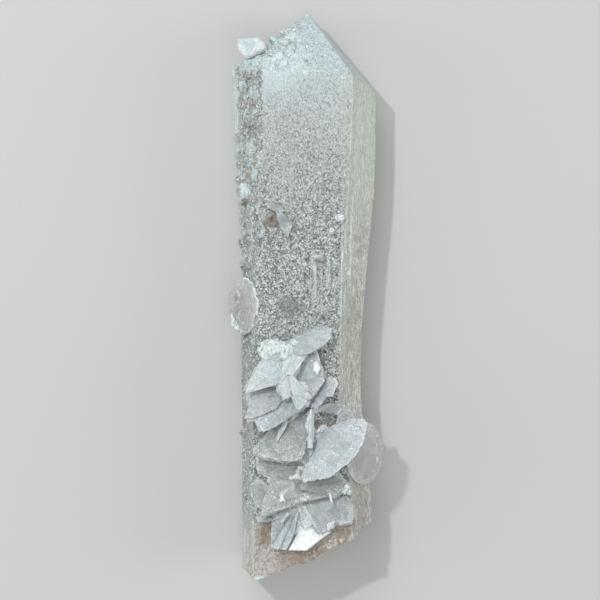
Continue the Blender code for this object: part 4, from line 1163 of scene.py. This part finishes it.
def crust_mesh(lumps, cell, size, height):
    """Lumps in one skin (cell is the mesh size), with faces of the given size and height."""
    bm = bmesh.new()
    for x, y, z, wide, long, high in lumps:
        ball = bmesh.ops.create_icosphere(bm, subdivisions=3, radius=MM)["verts"]
        shape = Matrix.Translation(to_frame(x, y, z)) @ Matrix.Diagonal((wide, long, high, 1.0))
        bmesh.ops.transform(bm, verts=ball, matrix=shape)
    piece = in_scene("crust", as_mesh(bm, "crust"))
    skin = voxel_skin(piece, cell * MM)
    bpy.data.objects.remove(piece)
    points, normals = vertex_fields(skin)
    points += normals * (micro_faces(points / MM, size) * height * MM)[:, None]
    skin.vertices.foreach_set("co", points.ravel())
    skin.shade_flat()
    skin.update()
    return skin


FILLING = [lump for blade in BLADES for lump in filling(*blade)]
crust = crust_mesh([*CRUST_LUMPS, *FILLING], cell=0.24, size=1.1, height=0.35)
finish_calcite("crust", crust, "crust")
crest = crust_mesh(CREST_LUMPS, cell=0.12, size=0.5, height=0.26)
finish_calcite("crest_lumps", crest, "white")

# %% [markdown]
# Small white crystals have grown here and there on the blades and on the discs. They are the same
# kind of crust on a smaller scale.

# %% White crystals on the blades
SUGAR = (                  # name, grains, and what they grow on
    ("right", [(2.6, 38.7, 18.1, 0.45, 0.4, 0.4), (1.5, 40.9, 17.7, 0.35, 0.4, 0.4)], "rosette"),
    ("facet", [(4.8, 10.9, 17.9, 0.65, 0.6, 0.6), (4.4, 10.2, 17.9, 0.4, 0.5, 0.5),
               (5.3, 11.4, 17.7, 0.4, 0.4, 0.5)], "rosette"),
    ("plate", [(7.9, 17.8, 18.3, 0.5, 0.6, 0.6), (8.3, 16.9, 17.9, 0.45, 0.5, 0.6),
               (7.4, 17.0, 18.1, 0.4, 0.5, 0.5)], "rosette"),
    ("fan", [(7.6, 23.9, 18.7, 0.9, 0.6, 0.35), (8.5, 24.6, 18.9, 0.6, 0.5, 0.35)], "rosette"),
    ("disc", [(-12.9, 47.9, 10.6, 0.7, 0.9, 0.6), (-12.2, 47.0, 11.4, 0.8, 0.6, 0.5),
              (-13.4, 49.0, 10.2, 0.3, 0.8, 0.4), (-11.3, 46.4, 12.2, 0.6, 0.4, 0.4)], "edge_disc"),
    ("lip", [(-1.6, 15.3, 18.6, 0.7, 0.3, 0.2), (-0.4, 15.6, 18.5, 0.8, 0.35, 0.2),
             (0.8, 16.0, 18.4, 0.7, 0.3, 0.2), (-0.2, 16.4, 18.3, 0.4, 0.25, 0.2)], "rosette"),
    ("side_disc", [(13.2, 24.9, 10.6, 0.25, 0.5, 0.3), (13.6, 22.3, 10.2, 0.3, 0.6, 0.3)],
     "side_disc"),
)

for name, grains, host in SUGAR:
    mesh = crust_mesh(grains, cell=0.09, size=0.4, height=0.2)
    finish_calcite("sugar_" + name, mesh, "white", node="calcite_" + host,
                   slot="calcite_blade" if host == "rosette" else "calcite_disc")

# %% [markdown]
# Along the front lip of the break lies sandy rubble: brownish grains of calcite, partly grown
# together. The grains follow the lip, and noise moves them about so that they don't stand in a row.

# %% Rubble on the lip
GRAIN_COUNT = 15
LIP_START, LIP_STEP = (0.4, 4.9), (0.55, 0.36)
RUBBLE = [(LIP_START[0] + LIP_STEP[0] * k + 0.9 * noise.noise(Vector((k, 0.5, 3.0))),
           LIP_START[1] + LIP_STEP[1] * k + 2.4 * noise.noise(Vector((k, 7.5, 5.0))), 16.1,
           0.45 + 0.3 * noise.cell(Vector((k, 1, 1))), 0.40 + 0.25 * noise.cell(Vector((k, 2, 1))),
           0.55) for k in range(GRAIN_COUNT)]
finish_calcite("rubble", crust_mesh(RUBBLE, cell=0.12, size=0.55, height=0.25), "sand")

# %% [markdown]
# ## Discs and small crystals
#
# Two calcite discs lie against the sides. They are the same lens as a blade, with a round outline
# and the root in the middle, so their growth lines are circles. The left one carries three smaller
# growths.

# %% Discs
DISCS = (                  # name, middle, radius, lean about the long axis, thickness
    ("side_disc", (11.2, 23.7, 12.4), 5.8, 52.5, 1.7),
    ("edge_disc", (-11.2, 51.1, 12.0), 5.3, -59.0, 2.2),
    ("edge_disc_ring", (-12.4, 52.6, 11.5), 1.3, -59.0, 0.7),
    ("edge_disc_eye", (-11.9, 50.4, 12.4), 1.8, -50.0, 0.8),
    ("edge_disc_fold", (-11.0, 49.2, 13.4), 1.5, -35.0, 0.7),
)
CORNERS = 48

for n, (name, middle, radius, lean, thick) in enumerate(DISCS):
    tilt = Matrix.Rotation(math.radians(lean), 4, "Y")
    centre = Vector(middle)
    ring = [centre + tilt @ Vector((radius * math.cos(a), radius * math.sin(a), 0.0))
            for a in np.linspace(0, 2 * math.pi, CORNERS, endpoint=False).tolist()]
    mesh = blade_mesh(ring, centre, thick, seed=70.0 + n, columns=160, rows=28)
    frost_rim(mesh)
    finish_calcite(name, mesh, "disc", "edge", slot="calcite_disc",
                   node="calcite_side_disc" if name == "side_disc" else "calcite_edge_disc")

# %% [markdown]
# A blue-white blade sits on the broken shoulder. In the contact mark of the front stands a dull
# wedge, with a crest above it and two white lips of the hollow beside it. Two white grains lie near
# the right edge.

# %% Blade on the shoulder, wedge and grains
ALONE = (                  # as a blade of the rosette, then its taper and the finish of its rim
    ("top_blade", ((-12.5, 100.8), (-8.6, 101.1), (-7.4, 100.4), (-6.6, 98.8), (-10.6, 97.0),
                   (-11.8, 98.0), (-12.4, 99.3)),
     (-9.6, 99.4), (-10.0, 99.3, 10.6), (0.22, -0.3), 1.7, 0.0, 0.95, 0.1, "edge"),
    ("wedge", ((-5.3, 68.6), (-4.5, 68.9), (-3.5, 67.9), (-2.7, 66.8), (-2.1, 66.3), (-2.4, 64.9),
               (-3.0, 63.6), (-3.8, 64.9), (-4.6, 65.8), (-5.0, 67.3)),
     (-3.8, 66.8), (-4.6, 67.0, 17.4), (0.12, -0.1), 1.3, 0.0, -1.0, 0.5, "dull_edge"),
    ("wedge_crest", ((-7.4, 69.8), (-6.7, 70.1), (-4.6, 69.7), (-3.4, 68.5), (-4.6, 68.3),
                     (-5.6, 68.5)),
     (-5.2, 69.1), (-5.2, 69.1, 17.3), (0.05, -0.35), 0.9, 0.0, -1.0, 0.5, "dull_edge"),
    ("wedge_lip_left", ((-8.2, 66.6), (-7.7, 66.4), (-7.0, 65.0), (-7.2, 64.6), (-7.8, 65.2)),
     (-7.6, 65.6), (-7.6, 65.6, 16.9), (0.2, -0.3), 0.8, 0.0, 0.9, 0.5, "edge"),
    ("wedge_lip_right", ((-6.8, 65.6), (-5.8, 65.4), (-4.9, 65.5), (-5.1, 64.9), (-6.2, 64.7)),
     (-5.8, 65.2), (-5.8, 65.2, 16.9), (0.0, -0.3), 0.7, 0.0, 0.9, 0.5, "edge"),
)
GRAINS = (                 # name, then place and half sizes
    ("grain_upper", (6.6, 67.3, 17.1, 0.85, 0.75, 0.9)),
    ("grain_lower", (5.1, 64.9, 17.0, 0.5, 0.55, 0.75)),
)

for n, (name, *shape, taper, edge) in enumerate(ALONE):
    calcite_leaf(name, *shape, n=n + 80, taper=taper, edge=edge,
                 node="calcite_top_blade" if name == "top_blade" else "calcite_wedge")
for name, grain in GRAINS:
    mesh = crust_mesh([grain], cell=0.07, size=0.5, height=0.16)
    finish_calcite(name, mesh, "white", node="calcite_" + name, slot="calcite_grain")

# %% [markdown]
# ## Stage
#
# The specimen lies on a plain pale table, and the camera looks straight down on it from half a
# metre.

# %% Floor
bm = bmesh.new()
bmesh.ops.create_grid(bm, x_segments=1, y_segments=1, size=1.5)
floor_mesh = as_mesh(bm, "floor")
floor_material, _, floor_shader = new_material("table_paper")
floor_shader.inputs["Base Color"].default_value = (0.57, 0.57, 0.56, 1.0)
floor_shader.inputs["Roughness"].default_value = 0.9
floor_mesh.materials.append(floor_material)
floor = in_scene("floor", floor_mesh)

# %% Camera
VIEW_CENTRE = to_frame(-0.75, 52.17, 9.0)
FIELD = 0.1122             # how wide the view is at half the crystal's height, in metres
LENS_MM, SENSOR_MM = 160.0, 36.0
camera_data = bpy.data.cameras.new("camera")
camera_data.lens = LENS_MM
camera_data.sensor_width = SENSOR_MM
camera = in_scene("camera", camera_data)
camera.location = VIEW_CENTRE + Vector((0, 0, FIELD * LENS_MM / SENSOR_MM))
bpy.context.scene.camera = camera
print("camera", round(camera.location.z, 3), "m above the table")

# %% [markdown]
# A wide soft light stands above the tip and another hangs overhead. Weak ones fill the right side,
# the left side and the broken end, so that the shadows under the blades stay open. A small lamp
# makes the glints, and a plain sky lights the rest.

# %% Lights
SPECIMEN = (0, 0, 0.01)
LIGHTS = (                 # name, place, what it points at, size, watts, colour
    ("window", (-0.15, 0.55, 0.50), (0, 0.01, 0.01), 0.36, 1.3, (0.94, 0.98, 1.0)),
    ("ceiling", (0.0, -0.05, 0.75), SPECIMEN, 0.5, 0.9, (1.0, 0.99, 0.97)),
    ("right_fill", (0.55, -0.05, 0.30), SPECIMEN, 0.4, 0.9, (1.0, 0.98, 0.94)),
    ("left_fill", (-0.55, -0.1, 0.30), SPECIMEN, 0.4, 0.65, (1.0, 0.98, 0.95)),
    ("low_fill", (0.05, -0.55, 0.40), SPECIMEN, 0.4, 0.3, (1.0, 0.99, 0.97)),
    ("glint", (-0.20, 0.20, 0.5), SPECIMEN, 0.03, 1.0, (1.0, 1.0, 1.0)),
)

for name, place, target, size, power, colour in LIGHTS:
    lamp = bpy.data.lights.new(name, "AREA")
    lamp.shape = "DISK"
    lamp.size = size
    lamp.energy = power
    lamp.color = colour
    light = in_scene(name, lamp)
    light.location = place
    light.rotation_euler = (Vector(target) - Vector(place)).to_track_quat("-Z", "Y").to_euler()

sky = bpy.data.worlds.new("sky")
sky.use_nodes = True
sky.node_tree.nodes["Background"].inputs["Color"].default_value = (0.93, 0.97, 1.0, 1.0)
sky.node_tree.nodes["Background"].inputs["Strength"].default_value = 0.38
bpy.context.scene.world = sky
bpy.context.scene.view_settings.view_transform = "Standard"
print(len(LIGHTS), "lights")
